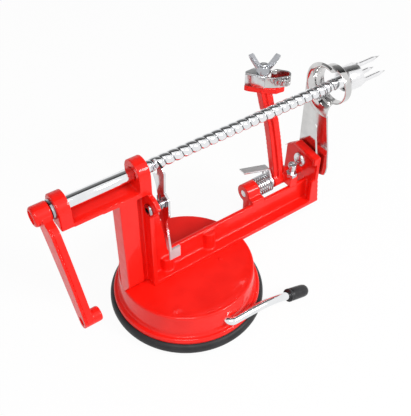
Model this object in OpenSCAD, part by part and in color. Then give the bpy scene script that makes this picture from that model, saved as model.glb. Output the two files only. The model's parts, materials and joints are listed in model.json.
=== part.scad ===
// Hand cranked apple peeler, slicer and corer on a suction base. Millimetres, +Z up.
// Origin: middle of the suction cup on the table. +X runs along the shaft from crank to fork.

/* [Base] */
// Diameter of the rubber cup at its rim
cup_d = 104.5; // [100:0.5:112]
// Width of the cup's rim around its stretching middle
cup_rim_w = 14.25; // [12:0.25:20]
// Thickness of the cup's rim
rim_h = 9.2; // [8:0.2:10]
// Thickness of the stretching middle of the cup
membrane_t = 3.5; // [3:0.5:4]
// Height of the deck above the table
deck_h = 30; // [29:0.5:34]
// Step in from the cup's edge to the cover's lip
lip_in = 2.75; // [2:0.25:4]
// Width of the cover's lip beside its wall
lip_w = 3.5; // [3:0.25:5]
// Draw of the wall, from its foot to the edge of the deck
wall_draw = 1; // [0.5:0.25:3]
// Thickness of the cover
cover_t = 2.2; // [1.8:0.1:2.6]

/* [Drive shaft] */
// Height of the shaft axis above the deck
shaft_up = 93.6; // [90:0.2:100]
// Distance of the shaft axis behind the middle of the cup
shaft_y = 4; // [3:0.5:5]
// Diameter of the smooth journal
shaft_d = 8; // [7.6:0.1:8.4]
// Pitch of the helical groove
thread_pitch = 6.1; // [5.8:0.1:7]
// Depth of the helical groove
groove_depth = 0.8; // [0.7:0.1:1]
// Width of the helical groove at its bottom
groove_w = 1.7; // [1.6:0.1:2]
// Length of the plain journal between the groove and the fork
nose_journal = 8.4; // [5:0.2:14]
// Radial clearance of a running fit
run_gap = 0.05; // [0.03:0.01:0.08]

/* [Crank] */
// Radius of the crank, shaft axis to handle hole
crank_r = 63; // [50:1:75]
// Lean of the crank towards the user, from straight down
crank_lean = 35.4; // [0:0.2:60]
// Thickness of the crank arm
crank_t = 5.8; // [5:0.2:7]
// Width of the crank arm at the shaft
crank_w_top = 18.8; // [16:0.2:20]
// Width of the crank arm at the handle hole
crank_w_end = 11.4; // [10:0.2:13]
// Diameter of the hole for a handle
handle_hole_d = 5.6; // [5:0.1:6.5]
// Thickness of the thrust washer
thrust_t = 1.3; // [1:0.1:1.6]

/* [Frame] */
// Radius of the rounded bearing heads
bearing_r = 8.5; // [8:0.1:9]
// Length of a bearing along the shaft
bearing_w = 7.6; // [7:0.2:9]
// Distance from the crank bearing to the post bearing
bearing_span = 48.6; // [46:0.2:52]
// Distance of the post's crank side before the middle of the cup
post_back = 45.6; // [44:0.2:47]
// Width of the post along the shaft
post_w = 21.2; // [20.4:0.2:22]
// Width of the post's solid flange on the crank side
flange_w = 11; // [9:0.5:12]
// Thickness of webs and ribs
web_t = 3; // [2.6:0.1:3.4]
// Height of the long lower arm
arm_h = 18.5; // [17:0.5:19]
// Length of the frame from the post's crank side to the face of the front post
frame_len = 154.6; // [154:0.2:158]
// Height of the front post above the deck
front_post_h = 44.5; // [43:0.5:46]

/* [Release lever] */
// Distance of the lever from the post
lever_off = 5.8; // [5.6:0.1:6.4]
// Thickness of the lever's plate
lever_t = 1.3; // [1.1:0.1:1.5]
// Distance of the lever's rivet below the shaft axis
rivet_down = 23.3; // [22.5:0.1:24]
// Distance of the lever's rivet in front of the shaft axis
rivet_fwd = 9.1; // [8.6:0.1:9.6]
// Diameter of the rivet's shank
rivet_d = 4; // [3.6:0.1:4.4]
// Wire diameter of the lever's spring
lever_wire_d = 0.7; // [0.6:0.05:0.8]
// Turns of the lever's coil spring
lever_spring_turns = 3; // [2:1:3]

/* [Peeling arm] */
// Height of the arm's pivot above the frame's lower arm
pivot_rise = 3.5; // [3.2:0.1:5]
// Distance of the arm's pivot behind the web of the frame
pivot_back = 8; // [8:0.1:9]
// Diameter of the pivot pin
pivot_d = 5; // [4.6:0.1:5.4]
// Diameter of the arm's hub
arm_hub_d = 11; // [10:0.5:12]
// Length of the arm's hub
arm_hub_len = 15; // [14:0.5:15.5]
// Depth of the arm from front to back
arm_depth = 6; // [5:0.5:7]
// Width of the arm
arm_w = 8.4; // [7.6:0.2:9]
// Diameter of the stop screw
stop_d = 4; // [3.6:0.1:4.2]
// Room for the arm's spring between the lug and the latch
spring_room = 12.5; // [12:0.1:14]
// Wire diameter of the arm's spring
wire_d = 1; // [0.8:0.05:1.05]
// Turns of the arm's coil spring
arm_spring_turns = 7; // [5:1:7]
// Diameter of the arm's coil spring, middle of the wire
arm_spring_d = 11.8; // [11:0.2:12]

/* [Peel head] */
// Reach of the head's plate from the stud to the tip of the nose
head_reach = 12.6; // [11.6:0.2:14]
// Height of the peeling blade's band
band_h = 7.5; // [6:0.5:9]
// Thickness of the peeling blade's band
band_t = 1; // [0.8:0.1:1.2]
// Thickness of the head's plate
head_t = 4; // [3.5:0.5:5]
// Thickness of the clamping plate
clamp_t = 1.5; // [1.2:0.1:2]
// Diameter of the clamping stud
stud_d = 4; // [3.6:0.1:4.4]
// Height of the wing nut's hub
wing_nut_h = 7; // [6:0.5:8]
// Span of the wing nut
wing_span = 17; // [15:0.5:20]

/* [Slicing blade] */
// Outer diameter of the coring ring
ring_d = 26.6; // [26:0.2:28]
// Length of the coring ring along the shaft
ring_len = 5; // [4:0.5:6]
// Length of the flare between blade and ring
flare_len = 8.3; // [7:0.1:9]
// Thickness of the blade
slicer_t = 1.2; // [1:0.1:1.4]
// Diameter of the blade's bolt
bolt_d = 4; // [3.6:0.1:4.4]
// Height adjustment of the blade, up or down
blade_play = 2.5; // [1:0.1:2.5]
// Diameter of the large washer behind the blade
washer_d = 17; // [14:0.5:18]

/* [Fork] */
// Diameter of the fork's hub
hub_d = 17; // [15:0.2:17.2]
// Length of the hub
hub_len = 12.4; // [11:0.2:14]
// Reach of the prongs from the hub
prong_len = 21.2; // [16:0.2:24]
// Diameter of a prong
prong_d = 3; // [2.6:0.1:3.4]
// Distance of a prong from the hub's edge
prong_in = 2.5; // [2.2:0.1:3]

/* [Suction lever] */
// Diameter of the lever's rod
rod_d = 5.5; // [5:0.1:5.8]
// Distance of the lever's axle below the deck
axle_down = 10; // [9.6:0.1:10.4]
// Length of the lever from its axle to its tip
lever_len = 66; // [55:1:72]
// Height of the lever's tip above the table
tip_up = 1.9; // [0.5:0.1:6]
// Length of the lever's black tip
tip_len = 18; // [15:0.5:22]
// Lift of the cup's stem
stem_lift = 3; // [2:0.1:3]
// Half of the angle that the lever turns through
half_turn = 75; // [60:1:75]

/* [Hidden] */
$fn = 64;
// Overrun of a cut past the face that it leaves
cut = 1;
// Gap between pieces that pass each other
gap = 0.3;
// Gap between pieces that are fastened together
seat = 0.05;
// Finish colours
red = [0.86, 0.07, 0.05];
steel = [0.8, 0.81, 0.83];
wire = [0.62, 0.63, 0.65];
rubber = [0.09, 0.09, 0.1];

// Planes of the casting, from the shaft axis
axle_h = deck_h - axle_down;
shaft_h = deck_h + shaft_up;
shaft_r = shaft_d / 2;
front_y = shaft_y - bearing_r;
back_y = shaft_y + bearing_r;
web_setback = 7.5;
web_front = front_y + web_setback;
web_back = web_front + web_t;
floor_t = 3.5;
floor_down = 12.6;
floor_bottom = shaft_h - floor_down;
floor_top = floor_bottom + floor_t;
post_x0 = -post_back;
post_x1 = post_x0 + post_w;
post_bearing_x = post_x1 - bearing_w;
crank_bearing_x = post_bearing_x - bearing_span;
frame_x1 = post_x0 + frame_len;
arm_top = deck_h + arm_h;
// Stations from the front post back to the arm's lug, and on to the fork
post_plate_t = 3;
post_lug_len = 8.6;
arm_play = 1.4;
latch_t = 1.2;
lug_len = 10;
arm_x0 = frame_x1 - post_plate_t - post_lug_len - arm_play - arm_hub_len;
latch_x = arm_x0 - gap - latch_t;
lug_x1 = latch_x - spring_room;
lug_x = lug_x1 - lug_len;
washer_t = 0.9;
ring_to_hub = 3.1;
blade_x0 = frame_x1 + 2 * seat + washer_t;
hub_x = blade_x0 + flare_len + ring_len + ring_to_hub;

// An outline drawn in Y and Z, made into a plate that runs from x along +X
module plate_x(x, t) {
    translate([x, 0, 0]) rotate([90, 0, 90]) linear_extrude(t) children();
}
// An outline drawn in X and Z, made into a plate that runs from y along +Y
module plate_y(y, t) {
    translate([0, y + t, 0]) rotate([90, 0, 0]) linear_extrude(t) children();
}
// A round bar from x along +X, with its axis at y and z
module bar_x(x, y, z, len, r) {
    translate([x, y, z]) rotate([0, 90, 0]) cylinder(h = len, r = r);
}
// A round bar from y along +Y, with its axis at x and z
module bar_y(x, y, z, len, r) {
    translate([x, y, z]) rotate([-90, 0, 0]) cylinder(h = len, r = r);
}
// Both sides of a route of points, moved sideways by half a width
function unit(v) = v / norm(v);
function side(v) = [-v.y, v.x];
function route_side(p, i) = let (
    before = i > 0 ? unit(p[i] - p[i - 1]) : unit(p[1] - p[0]),
    after = i < len(p) - 1 ? unit(p[i + 1] - p[i]) : before,
    middle = unit(side(before) + side(after))) middle / (middle * side(before));
function strip(p, half) = concat(
    [for (i = [0:len(p) - 1]) p[i] + half * route_side(p, i)],
    [for (i = [len(p) - 1:-1:0]) p[i] - half * route_side(p, i)]);

// Frame: one casting, a Z of webs with flanges in front of them
screw_x = [-13, 20];
screw_boss_d = 9;
screw_boss_h = [14, 17];
screw_r = 1.8;
foot_rise = 11;
flare_top = 7.2;
flare_foot = 12.4;
flare_down = 22;
shoulder_down = 6;
ledge_h = 7.6;
lower_flange_t = 3.2;
crank_bearing_lift = 1.8;
post_rim = 2.8;
ear_share = [[0, 0.75], [0.45, 0.72], [1, 0.4], [0.28, -0.36], [0, -0.6]];
ear_reach = 9.5;
ear_rise = 13;
lug_wall = 4;
post_lug_wall = 1.7;
pivot_y = web_back + pivot_back;
pivot_h = arm_top + pivot_rise;
rivet_y = shaft_y - rivet_fwd;
rivet_h = shaft_h - rivet_down;
// Outline of the front post as shares of its depth and height
post_depth = 33;
post_share = [[0, 0], [0, 0.95], [0.63, 1], [0.97, 0.78], [1, 0.19], [0.45, 0]];
bolt_back = 6.5;
bolt_down = 14;
bolt_y = web_back + bolt_back;
bolt_h = deck_h + front_post_h - bolt_down;

module bearing_outline(bottom) {
    translate([shaft_y, shaft_h]) circle(bearing_r);
    translate([front_y, bottom]) square([2 * bearing_r, shaft_h - bottom]);
}
module upper_arm() {
    plate_y(front_y, 2 * bearing_r) polygon([
        [crank_bearing_x, floor_bottom + crank_bearing_lift], [post_x1, floor_bottom],
        [post_x1, floor_top], [crank_bearing_x, floor_top]]);
    translate([crank_bearing_x, back_y - web_t, floor_bottom + crank_bearing_lift])
        cube([bearing_span + bearing_w, web_t, ledge_h - crank_bearing_lift]);
}
module post() {
    plate_x(post_x0, flange_w) polygon([
        [front_y, floor_top], [front_y, deck_h + foot_rise], [web_front, deck_h],
        [web_back, deck_h], [web_back, floor_top]]);
    translate([post_x1 - web_t, front_y, deck_h])
        cube([web_t, web_setback + web_t, floor_top - deck_h]);
}
module webs() {
    plate_y(web_front, web_t) polygon([
        [post_x0, deck_h], [frame_x1, deck_h], [frame_x1, arm_top],
        [post_x1 + flare_foot, arm_top], [post_x1 + flare_top, floor_bottom - flare_down],
        [post_x1, floor_bottom - shoulder_down], [post_x1, floor_top], [post_x0, floor_top]]);
    translate([post_x1 - web_t, front_y, deck_h])
        cube([frame_x1 - post_x1 + web_t, web_setback + web_t, lower_flange_t]);
}
module screw_bosses() {
    for (i = [0, 1])
        translate([screw_x[i], web_front, deck_h]) cylinder(h = screw_boss_h[i], d = screw_boss_d);
}
module lever_ear() {
    plate_x(post_x1 - web_t, web_t) polygon([for (s = ear_share)
        [front_y - s.x * ear_reach, rivet_h + s.y * ear_rise]]);
}
module pivot_lug() {
    bar_x(lug_x, pivot_y, pivot_h, lug_len, pivot_d / 2 + lug_wall);
    translate([lug_x, web_front, deck_h + lower_flange_t])
        cube([lug_len, pivot_back + web_t, pivot_h - deck_h - lower_flange_t]);
}
module front_post_outline() {
    polygon([for (s = post_share)
        [front_y + s.x * post_depth, deck_h + s.y * front_post_h]]);
}
module front_post() {
    plate_x(frame_x1 - post_plate_t, post_plate_t) front_post_outline();
    plate_x(frame_x1 - post_plate_t - post_rim, post_rim) difference() {
        front_post_outline();
        translate([post_rim, -post_rim]) front_post_outline();
        translate([0, -2 * post_rim]) front_post_outline();
    }
    plate_y(front_y, post_rim) polygon([
        [frame_x1 - post_plate_t - post_rim, deck_h],
        [frame_x1 + post_rim, deck_h],
        [frame_x1, deck_h + front_post_h / 2],
        [frame_x1 - post_plate_t - post_rim, deck_h + front_post_h / 2]]);
    bar_x(frame_x1 - post_plate_t - post_lug_len, pivot_y, pivot_h, post_lug_len,
        pivot_d / 2 + post_lug_wall);
}
module frame() {
    color(red) difference() {
        union() {
            plate_x(post_bearing_x, bearing_w) bearing_outline(floor_bottom);
            plate_x(crank_bearing_x, bearing_w)
                bearing_outline(floor_bottom + crank_bearing_lift);
            upper_arm();
            post();
            webs();
            screw_bosses();
            lever_ear();
            pivot_lug();
            front_post();
        }
        bar_x(crank_bearing_x - cut, shaft_y, shaft_h, bearing_span + bearing_w + 2 * cut,
            shaft_r + run_gap);
        bar_x(post_x1 - web_t - cut, rivet_y, rivet_h, web_t + 2 * cut, rivet_d / 2 + seat);
        bar_x(lug_x - cut, pivot_y, pivot_h, frame_x1 - lug_x + 2 * cut, pivot_d / 2 + seat);
        bar_x(frame_x1 - post_plate_t - cut, bolt_y, bolt_h, post_plate_t + 2 * cut,
            bolt_d / 2 + seat);
        for (x = screw_x)
            translate([x, web_front, deck_h - cut]) cylinder(h = screw_len, r = screw_r + seat);
    }
}

// Base cover: a turned shell with a bearing boss and an inner rib for the lever's axle
shell_curve = 6;
deck_round = 1.5;
lip_t = 1.7;
axle_wall = 2.75;
axle_boss_r = rod_d / 2 + axle_wall;
axle_boss_len = 11;
stem_r = 5;
inner_rib_t = 3;
inner_rib_y = -stem_r - 2 * gap - inner_rib_t;
bump_x = 10.5;
bump_r = 7.5;
bump_out = 0.3;
bump_h = 7.4;
pip_x = 21;
pip_y = -9.4;
pip_r = 1.5;
screw_len = 14;
cup_r = cup_d / 2;
lip_r = cup_r - lip_in;
wall_r = lip_r - lip_w;
deck_r = wall_r - wall_draw;
lip_h = rim_h + seat;
foot_h = lip_h + shell_curve;

// The turned outline, from the middle of the deck to the lip and back inside
module cover_outline() {
    polygon(concat(
        [[0, deck_h]],
        [for (t = [90:-15:0])
            [deck_r - deck_round + deck_round * cos(t), deck_h - deck_round + deck_round * sin(t)]],
        [for (t = [90:-15:0])
            [lip_r - lip_w * sin(t), foot_h - (shell_curve - lip_t) * cos(t)]],
        [[lip_r, lip_h], [wall_r - cover_t, lip_h], [wall_r - cover_t, foot_h],
         [deck_r - cover_t, deck_h - cover_t], [0, deck_h - cover_t]]));
}
module base_cover() {
    color(red) difference() {
        union() {
            rotate_extrude() cover_outline();
            intersection() {
                bar_y(0, -wall_r, axle_h, axle_boss_len, axle_boss_r);
                cylinder(h = deck_h - cover_t / 2, r = deck_r);
            }
            translate([-axle_boss_r, inner_rib_y, axle_h - axle_boss_r])
                cube([2 * axle_boss_r, inner_rib_t, axle_down + axle_boss_r - cover_t / 2]);
            translate([bump_x, bump_r - wall_r - bump_out, deck_h - bump_h])
                cylinder(h = bump_h - deck_round, r = bump_r);
            translate([pip_x, pip_y, deck_h - pip_r / 2]) cylinder(h = pip_r, r = pip_r);
        }
        bar_y(0, -lip_r, axle_h, lip_r, rod_d / 2 + run_gap);
        for (x = screw_x)
            translate([x, web_front, deck_h - cover_t - cut])
                cylinder(h = cover_t + 2 * cut, r = screw_r + seat);
    }
}

// Rubber cup: a rim that rests on the table and a middle that the stem pulls up
rim_round = 3;
membrane_r = cup_r - cup_rim_w;
membrane_up = 1.5;
module cup_rim() {
    color(rubber) rotate_extrude() polygon(concat(
        [[membrane_r + gap, 0], [cup_r, 0]],
        [for (t = [0:15:90])
            [cup_r - rim_round + rim_round * cos(t), rim_h - rim_round + rim_round * sin(t)]],
        [[membrane_r + gap, rim_h]]));
}
module cup_membrane() {
    color(rubber) difference() {
        rotate_extrude() polygon([
            [0, membrane_up], [membrane_r, membrane_up],
            [membrane_r, membrane_up + membrane_t / 2],
            [stem_foot_r, membrane_up + membrane_t], [0, membrane_up + membrane_t]]);
        translate([0, 0, membrane_up + membrane_t / 2])
            cylinder(h = membrane_t, r = stem_r + seat);
    }
}

// Stem: a round foot and a yoke whose level slot takes the lever's eccentric pin
stem_foot_r = 9;
stem_h = membrane_up + membrane_t / 2 + seat;
stem_top = axle_h - rod_d / 2 - stem_lift - gap;
yoke_w = 2 * stem_r;
yoke_t = 6;
yoke_h = 11;
yoke_slack = 0.25;
ecc = stem_lift / (2 * sin(half_turn));
ecc_r = rod_d / 2 - ecc - seat;
slot_mid = axle_h - stem_lift / 2;
module cup_stem() {
    color(steel) difference() {
        union() {
            translate([0, 0, stem_h]) cylinder(h = stem_top - stem_h, r = stem_r);
            translate([-yoke_w / 2, -yoke_t / 2, slot_mid - yoke_h / 2])
                cube([yoke_w, yoke_t, yoke_h]);
        }
        plate_y(-yoke_t, 2 * yoke_t) translate([0, slot_mid]) polygon([for (s = [1, -1])
            for (t = [-90:10:90]) s * [ecc + (ecc_r + yoke_slack) * cos(t),
                (ecc_r + yoke_slack) * sin(t)]]);
    }
}

// Suction lever: axle with an eccentric pin, a bend and a drooping arm
rod_gap = 0.7;
bend_r = rod_d / 2 + rod_gap;
lever_out = wall_r + rod_gap + rod_d / 2;
tip_wall = 1.65;
tip_r = rod_d / 2 + tip_wall;
tip_grip = 2 * tip_len / 3;
lever_droop = asin((axle_h - tip_r - tip_up) / lever_len);
module suction_lever() {
    color(steel) translate([0, 0, axle_h]) {
        rotate([0, lever_droop, 0]) {
            bar_y(0, bend_r - lever_out, 0, lever_out - bend_r - yoke_t / 2 - 2 * gap, rod_d / 2);
            translate([bend_r, bend_r - lever_out, 0]) rotate([0, 0, 180])
                rotate_extrude(angle = 90) translate([bend_r, 0]) circle(d = rod_d);
            bar_x(bend_r, -lever_out, 0, lever_len - bend_r - tip_len + tip_grip, rod_d / 2);
        }
        rotate([0, half_turn, 0]) bar_y(ecc, -yoke_t, 0, 3 * yoke_t / 2, ecc_r);
    }
}
module lever_tip() {
    color(rubber) translate([0, -lever_out, axle_h])
        rotate([0, lever_droop + 90, 0]) rotate_extrude() polygon(concat(
            [[rod_d / 2 + seat, lever_len - tip_len], [tip_r, lever_len - tip_len],
             [tip_r, lever_len - tip_r]],
            [for (t = [15:15:90])
                [tip_r * cos(t), lever_len - tip_r + tip_r * sin(t)]],
            [[0, lever_len - tip_len + tip_grip + seat],
             [rod_d / 2 + seat, lever_len - tip_len + tip_grip + seat]]));
}

// Screws that hold the frame on the deck, from below
screw_head_r = 3.4;
screw_head_t = 2.4;
module base_screw(x) {
    color(steel) translate([x, web_front, 0]) {
        translate([0, 0, deck_h - cover_t - screw_head_t - seat])
            cylinder(h = screw_head_t, r = screw_head_r);
        translate([0, 0, deck_h - cover_t - screw_head_t])
            cylinder(h = screw_head_t + cover_t + screw_len - 2 * cut, r = screw_r);
    }
}
module base_screw_a() {
    base_screw(screw_x[0]);
}
module base_screw_b() {
    base_screw(screw_x[1]);
}

// Drive shaft: smooth journals and one unbroken helical groove between them
thread_in = 4;
shaft_recess = 1.5;
hub_cap = 2;
thread_sides = 16;
groove_flank = 0.4;
land_r = shaft_r - run_gap;
root_r = shaft_r - groove_depth;
thread_x0 = post_bearing_x + thread_in;
thread_x1 = hub_x - nose_journal;
thread_len = thread_x1 - thread_x0;
lever_x = post_x1 + lever_off;
crank_set = 3.5;
boss_lip = 0.7;
boss_len = crank_set + crank_t + boss_lip;
boss_x1 = crank_bearing_x - 2 * gap - thrust_t;
boss_x0 = boss_x1 - boss_len;
thread_turns = ceil(thread_len / thread_pitch) + 2;
thread_start = thread_x0 - 1.2 * thread_pitch;
thread_steps = thread_turns * thread_sides;
// One groove-to-groove profile: along the shaft, and out from its axis
thread_profile = [[0, root_r], [groove_flank, land_r],
                  [thread_pitch - groove_w - groove_flank, land_r],
                  [thread_pitch - groove_w, root_r]];
// The tooth's side of the shaft, and the turn that brings the groove under the tooth
tooth_angle = 90 + atan2(rivet_down, rivet_fwd);
thread_turn = tooth_angle - 360 * (lever_x - thread_start + groove_w / 2) / thread_pitch;
thread_points = concat(
    [for (i = [0:thread_steps]) for (p = thread_profile)
        let (a = thread_turn + 360 * i / thread_sides)
        [thread_start + thread_pitch * i / thread_sides + p.x, p.y * cos(a), p.y * sin(a)]],
    [[thread_start + thread_pitch / 2, 0, 0],
     [thread_start + thread_pitch * (thread_turns + 1 / 2) - groove_w, 0, 0]]);
function tp(i, j) = 4 * i + j;
head_point = 4 * (thread_steps + 1);
tail_point = head_point + 1;
last_turn = thread_steps - thread_sides;
function quad(a, b, c, d) = [[a, b, c], [a, c, d]];
thread_faces = concat(
    [for (i = [0:thread_steps - 1]) for (j = [0:2])
        for (f = quad(tp(i, j), tp(i, j + 1), tp(i + 1, j + 1), tp(i + 1, j))) f],
    [for (i = [0:last_turn - 1])
        for (f = quad(tp(i, 3), tp(i + thread_sides, 0), tp(i + 1 + thread_sides, 0),
            tp(i + 1, 3))) f],
    [for (i = [0:thread_sides - 1]) [head_point, tp(i, 0), tp(i + 1, 0)]],
    [for (j = [0:2]) [head_point, tp(0, j + 1), tp(0, j)]],
    [[head_point, tp(thread_sides, 0), tp(0, 3)]],
    [for (i = [last_turn:thread_steps - 1]) [tail_point, tp(i + 1, 3), tp(i, 3)]],
    [for (j = [0:2]) [tail_point, tp(thread_steps, j), tp(thread_steps, j + 1)]],
    [[tail_point, tp(last_turn, 3), tp(thread_steps, 0)]]);
module journal(x0, x1) {
    bar_x(x0, shaft_y, shaft_h, x1 - x0, shaft_r);
}
module drive_shaft() {
    color(steel) {
        difference() {
            journal(boss_x0 + shaft_recess, thread_x0);
            cross_pin(0, crank_pin_r + seat);
        }
        journal(thread_x1, hub_x + hub_len - hub_cap);
        translate([0, shaft_y, shaft_h]) polyhedron(thread_points, thread_faces);
    }
}

// Crank: a tapered arm with a boss at each end, pinned across the shaft
boss_wall = 2.5;
boss_r = shaft_r + boss_wall;
handle_wall = 1.7;
handle_boss_out = 6.6;
crank_pin_r = 1.5;
crank_x0 = boss_x0 + crank_set;
// A link between two rounds, with straight sides that touch both
module link(r1, r2, len) {
    lean = asin((r1 - r2) / len);
    turn = (180 + 2 * lean) / 24;
    back = (180 - 2 * lean) / 24;
    polygon(concat(
        [for (i = [0:24]) r1 * [cos(i * turn - lean), sin(i * turn - lean)]],
        [for (i = [0:24]) [0, -len] + r2 * [cos(180 + lean + i * back), sin(180 + lean + i * back)]]));
}
// The pin, or its blind hole, from the arm's hidden edge through the shaft
module cross_pin(short, r) {
    translate([crank_x0 + crank_t / 2, shaft_y, shaft_h]) rotate([-crank_lean, 0, 0])
        bar_y(0, short - boss_r, 0, boss_r + crank_w_top / 2 + cut - 2 * short, r);
}
module at_handle(x) {
    translate([x, shaft_y - crank_r * sin(crank_lean), shaft_h - crank_r * cos(crank_lean)])
        rotate([0, 90, 0]) children();
}
module crank_arm() {
    color(red) difference() {
        union() {
            bar_x(boss_x0, shaft_y, shaft_h, boss_len, boss_r);
            translate([0, shaft_y, shaft_h]) rotate([-crank_lean, 0, 0])
                plate_x(crank_x0, crank_t) link(crank_w_top / 2, crank_w_end / 2, crank_r);
            at_handle(crank_x0)
                cylinder(h = crank_t + handle_boss_out, r = handle_hole_d / 2 + handle_wall);
        }
        bar_x(boss_x0 - cut, shaft_y, shaft_h, boss_len + 2 * cut, shaft_r + seat);
        at_handle(crank_x0 - cut)
            cylinder(h = crank_t + handle_boss_out + 2 * cut, d = handle_hole_d);
        cross_pin(0, crank_pin_r + seat);
    }
}
module crank_pin() {
    color(steel) cross_pin(cut, crank_pin_r);
}
thrust_rim = 2;
module thrust_washer() {
    color(steel) difference() {
        bar_x(boss_x1 + gap, shaft_y, shaft_h, thrust_t, shaft_r + thrust_rim);
        bar_x(boss_x1, shaft_y, shaft_h, thrust_t + 2 * gap, shaft_r + run_gap);
    }
}

// Fork: a round hub and three tapering prongs
prong_angles = [75, 195, 315];
prong_r = hub_d / 2 - prong_in;
prong_root_r = 2.2;
prong_root_len = 3;
prong_tip = 6;
hub_round = 1.2;
module fork() {
    color(steel) difference() {
        translate([hub_x, shaft_y, shaft_h]) {
            rotate([0, 90, 0]) {
                rotate_extrude() polygon([
                    [0, 0], [hub_d / 2 - hub_round, 0], [hub_d / 2, hub_round],
                    [hub_d / 2, hub_len - hub_round], [hub_d / 2 - hub_round, hub_len],
                    [0, hub_len]]);
            }
            for (a = prong_angles) rotate([a, 0, 0]) translate([hub_len, prong_r, 0])
                rotate([0, 90, 0]) rotate_extrude() polygon([
                    [0, -cut], [prong_root_r, -cut], [prong_root_r, 0],
                    [prong_d / 2, prong_root_len], [prong_d / 2, prong_len - prong_tip],
                    [0, prong_len]]);
        }
        bar_x(hub_x - cut, shaft_y, shaft_h, hub_len - hub_cap + cut, shaft_r + seat);
    }
}

// Release lever: a stamped half nut that the thumb turns about the rivet
// Outline in Y and Z: the hook from the shaft axis as shares of the eye's radius, and the
// tail from the rivet as shares of the distance from rivet to shaft axis
eye_gap = 1.9;
eye_r = shaft_r + eye_gap;
lever_reach = norm([rivet_fwd, rivet_down]);
hook_share = [[-0.02, -0.77], [0.32, 0.76], [-0.99, 1.09], [-1.88, 0.84], [-2.22, 0.37]];
tail_share = [[-0.12, 0.42], [-0.3, 0.32], [-0.29, -0.19], [-0.14, -0.52], [-0.27, -1.31],
              [-0.27, -1.44], [-0.15, -1.42], [0.02, -0.65], [0.15, -0.56], [0.13, 0],
              [0.24, 0.5]];
lever_corner = 0.9;
tooth_w = 1.8;
tooth_play = 0.45;
tooth_t = groove_w - 2 * tooth_play;
tooth_r = root_r + gap;
pad_w = 7.6;
pad_h = 8.6;
pad_share = [-0.27, -1.386];
module release_lever() {
    color(steel) {
        difference() {
            plate_x(lever_x - lever_t / 2, lever_t) offset(lever_corner, $fn = 20)
                offset(delta = -lever_corner) polygon(concat(
                    [for (s = hook_share) [shaft_y, shaft_h] + eye_r * s],
                    [for (s = tail_share) [rivet_y, rivet_h] + lever_reach * s]));
            bar_x(lever_x - lever_t, shaft_y, shaft_h, 2 * lever_t, eye_r);
            bar_x(lever_x - lever_t, rivet_y, rivet_h, 2 * lever_t, rivet_d / 2 + run_gap);
        }
        translate([lever_x, shaft_y, shaft_h]) rotate([tooth_angle, 0, 0])
            translate([-tooth_t / 2, tooth_r, -tooth_w / 2])
            cube([tooth_t, eye_r + tooth_w / 2 - tooth_r, tooth_w]);
        translate([lever_x - lever_t / 2, rivet_y + pad_share.x * lever_reach,
                   rivet_h + pad_share.y * lever_reach - pad_h])
            cube([pad_w, lever_t, pad_h]);
    }
}

// Rivet: a hollow shank with a ring on the casting's side and a head on the lever's side
rivet_ring_w = 2;
rivet_ring_t = 1.1;
rivet_wall = 0.7;
rivet_head_w = 1.3;
module lever_rivet() {
    color(steel) difference() {
        union() {
            bar_x(post_x1 - web_t - rivet_ring_t, rivet_y, rivet_h,
                web_t + lever_off + lever_t / 2 + 2 * rivet_ring_t, rivet_d / 2);
            bar_x(post_x1 - web_t - rivet_ring_t - seat, rivet_y, rivet_h, rivet_ring_t,
                rivet_d / 2 + rivet_ring_w);
            bar_x(lever_x + lever_t / 2 + run_gap, rivet_y, rivet_h, rivet_ring_t,
                rivet_d / 2 + rivet_head_w);
        }
        bar_x(post_x1 - web_t - rivet_ring_t - cut, rivet_y, rivet_h, web_t + rivet_ring_t + cut,
            rivet_d / 2 - rivet_wall);
    }
}

// Springs: one wound wire each, swept along a helix with a straight leg at both ends
wire_sides = 6;
rings_per_turn = 8;
// Points of a helix about the X axis with a leg before it and a leg after it
function coil_route(r, pitch, turns, start, leg_in, leg_out) = let (
    steps = turns * rings_per_turn,
    at = function(i) let (a = start + 360 * i / rings_per_turn)
        [pitch * i / rings_per_turn, r * cos(a), r * sin(a)],
    along = function(i) let (a = start + 360 * i / rings_per_turn) [0, -sin(a), cos(a)])
    concat([at(0) - leg_in * along(0)], [for (i = [0:steps]) at(i)],
        [at(steps) + leg_out * along(steps)]);
function tangent(p, i) = unit(p[min(i + 1, len(p) - 1)] - p[max(i - 1, 0)]);
// Rings of points round the route, each square to it, with one side kept facing along X
function wire_points(p, r) = [for (i = [0:len(p) - 1]) let (
    t = tangent(p, i),
    u = unit(cross(cross(t, [1, 0, 0]), t)),
    v = cross(t, u))
    for (k = [0:wire_sides - 1]) p[i]
        + r * (cos(360 * k / wire_sides) * u + sin(360 * k / wire_sides) * v)];
module wound_wire(p, r) {
    n = wire_sides;
    end = (len(p) - 1) * n;
    polyhedron(wire_points(p, r), concat(
        [[for (k = [0:n - 1]) k]], [[for (k = [n - 1:-1:0]) end + k]],
        [for (i = [0:len(p) - 2]) for (k = [0:n - 1])
            for (f = quad(i * n + k, (i + 1) * n + k, (i + 1) * n + (k + 1) % n,
                i * n + (k + 1) % n)) f]));
}
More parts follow.
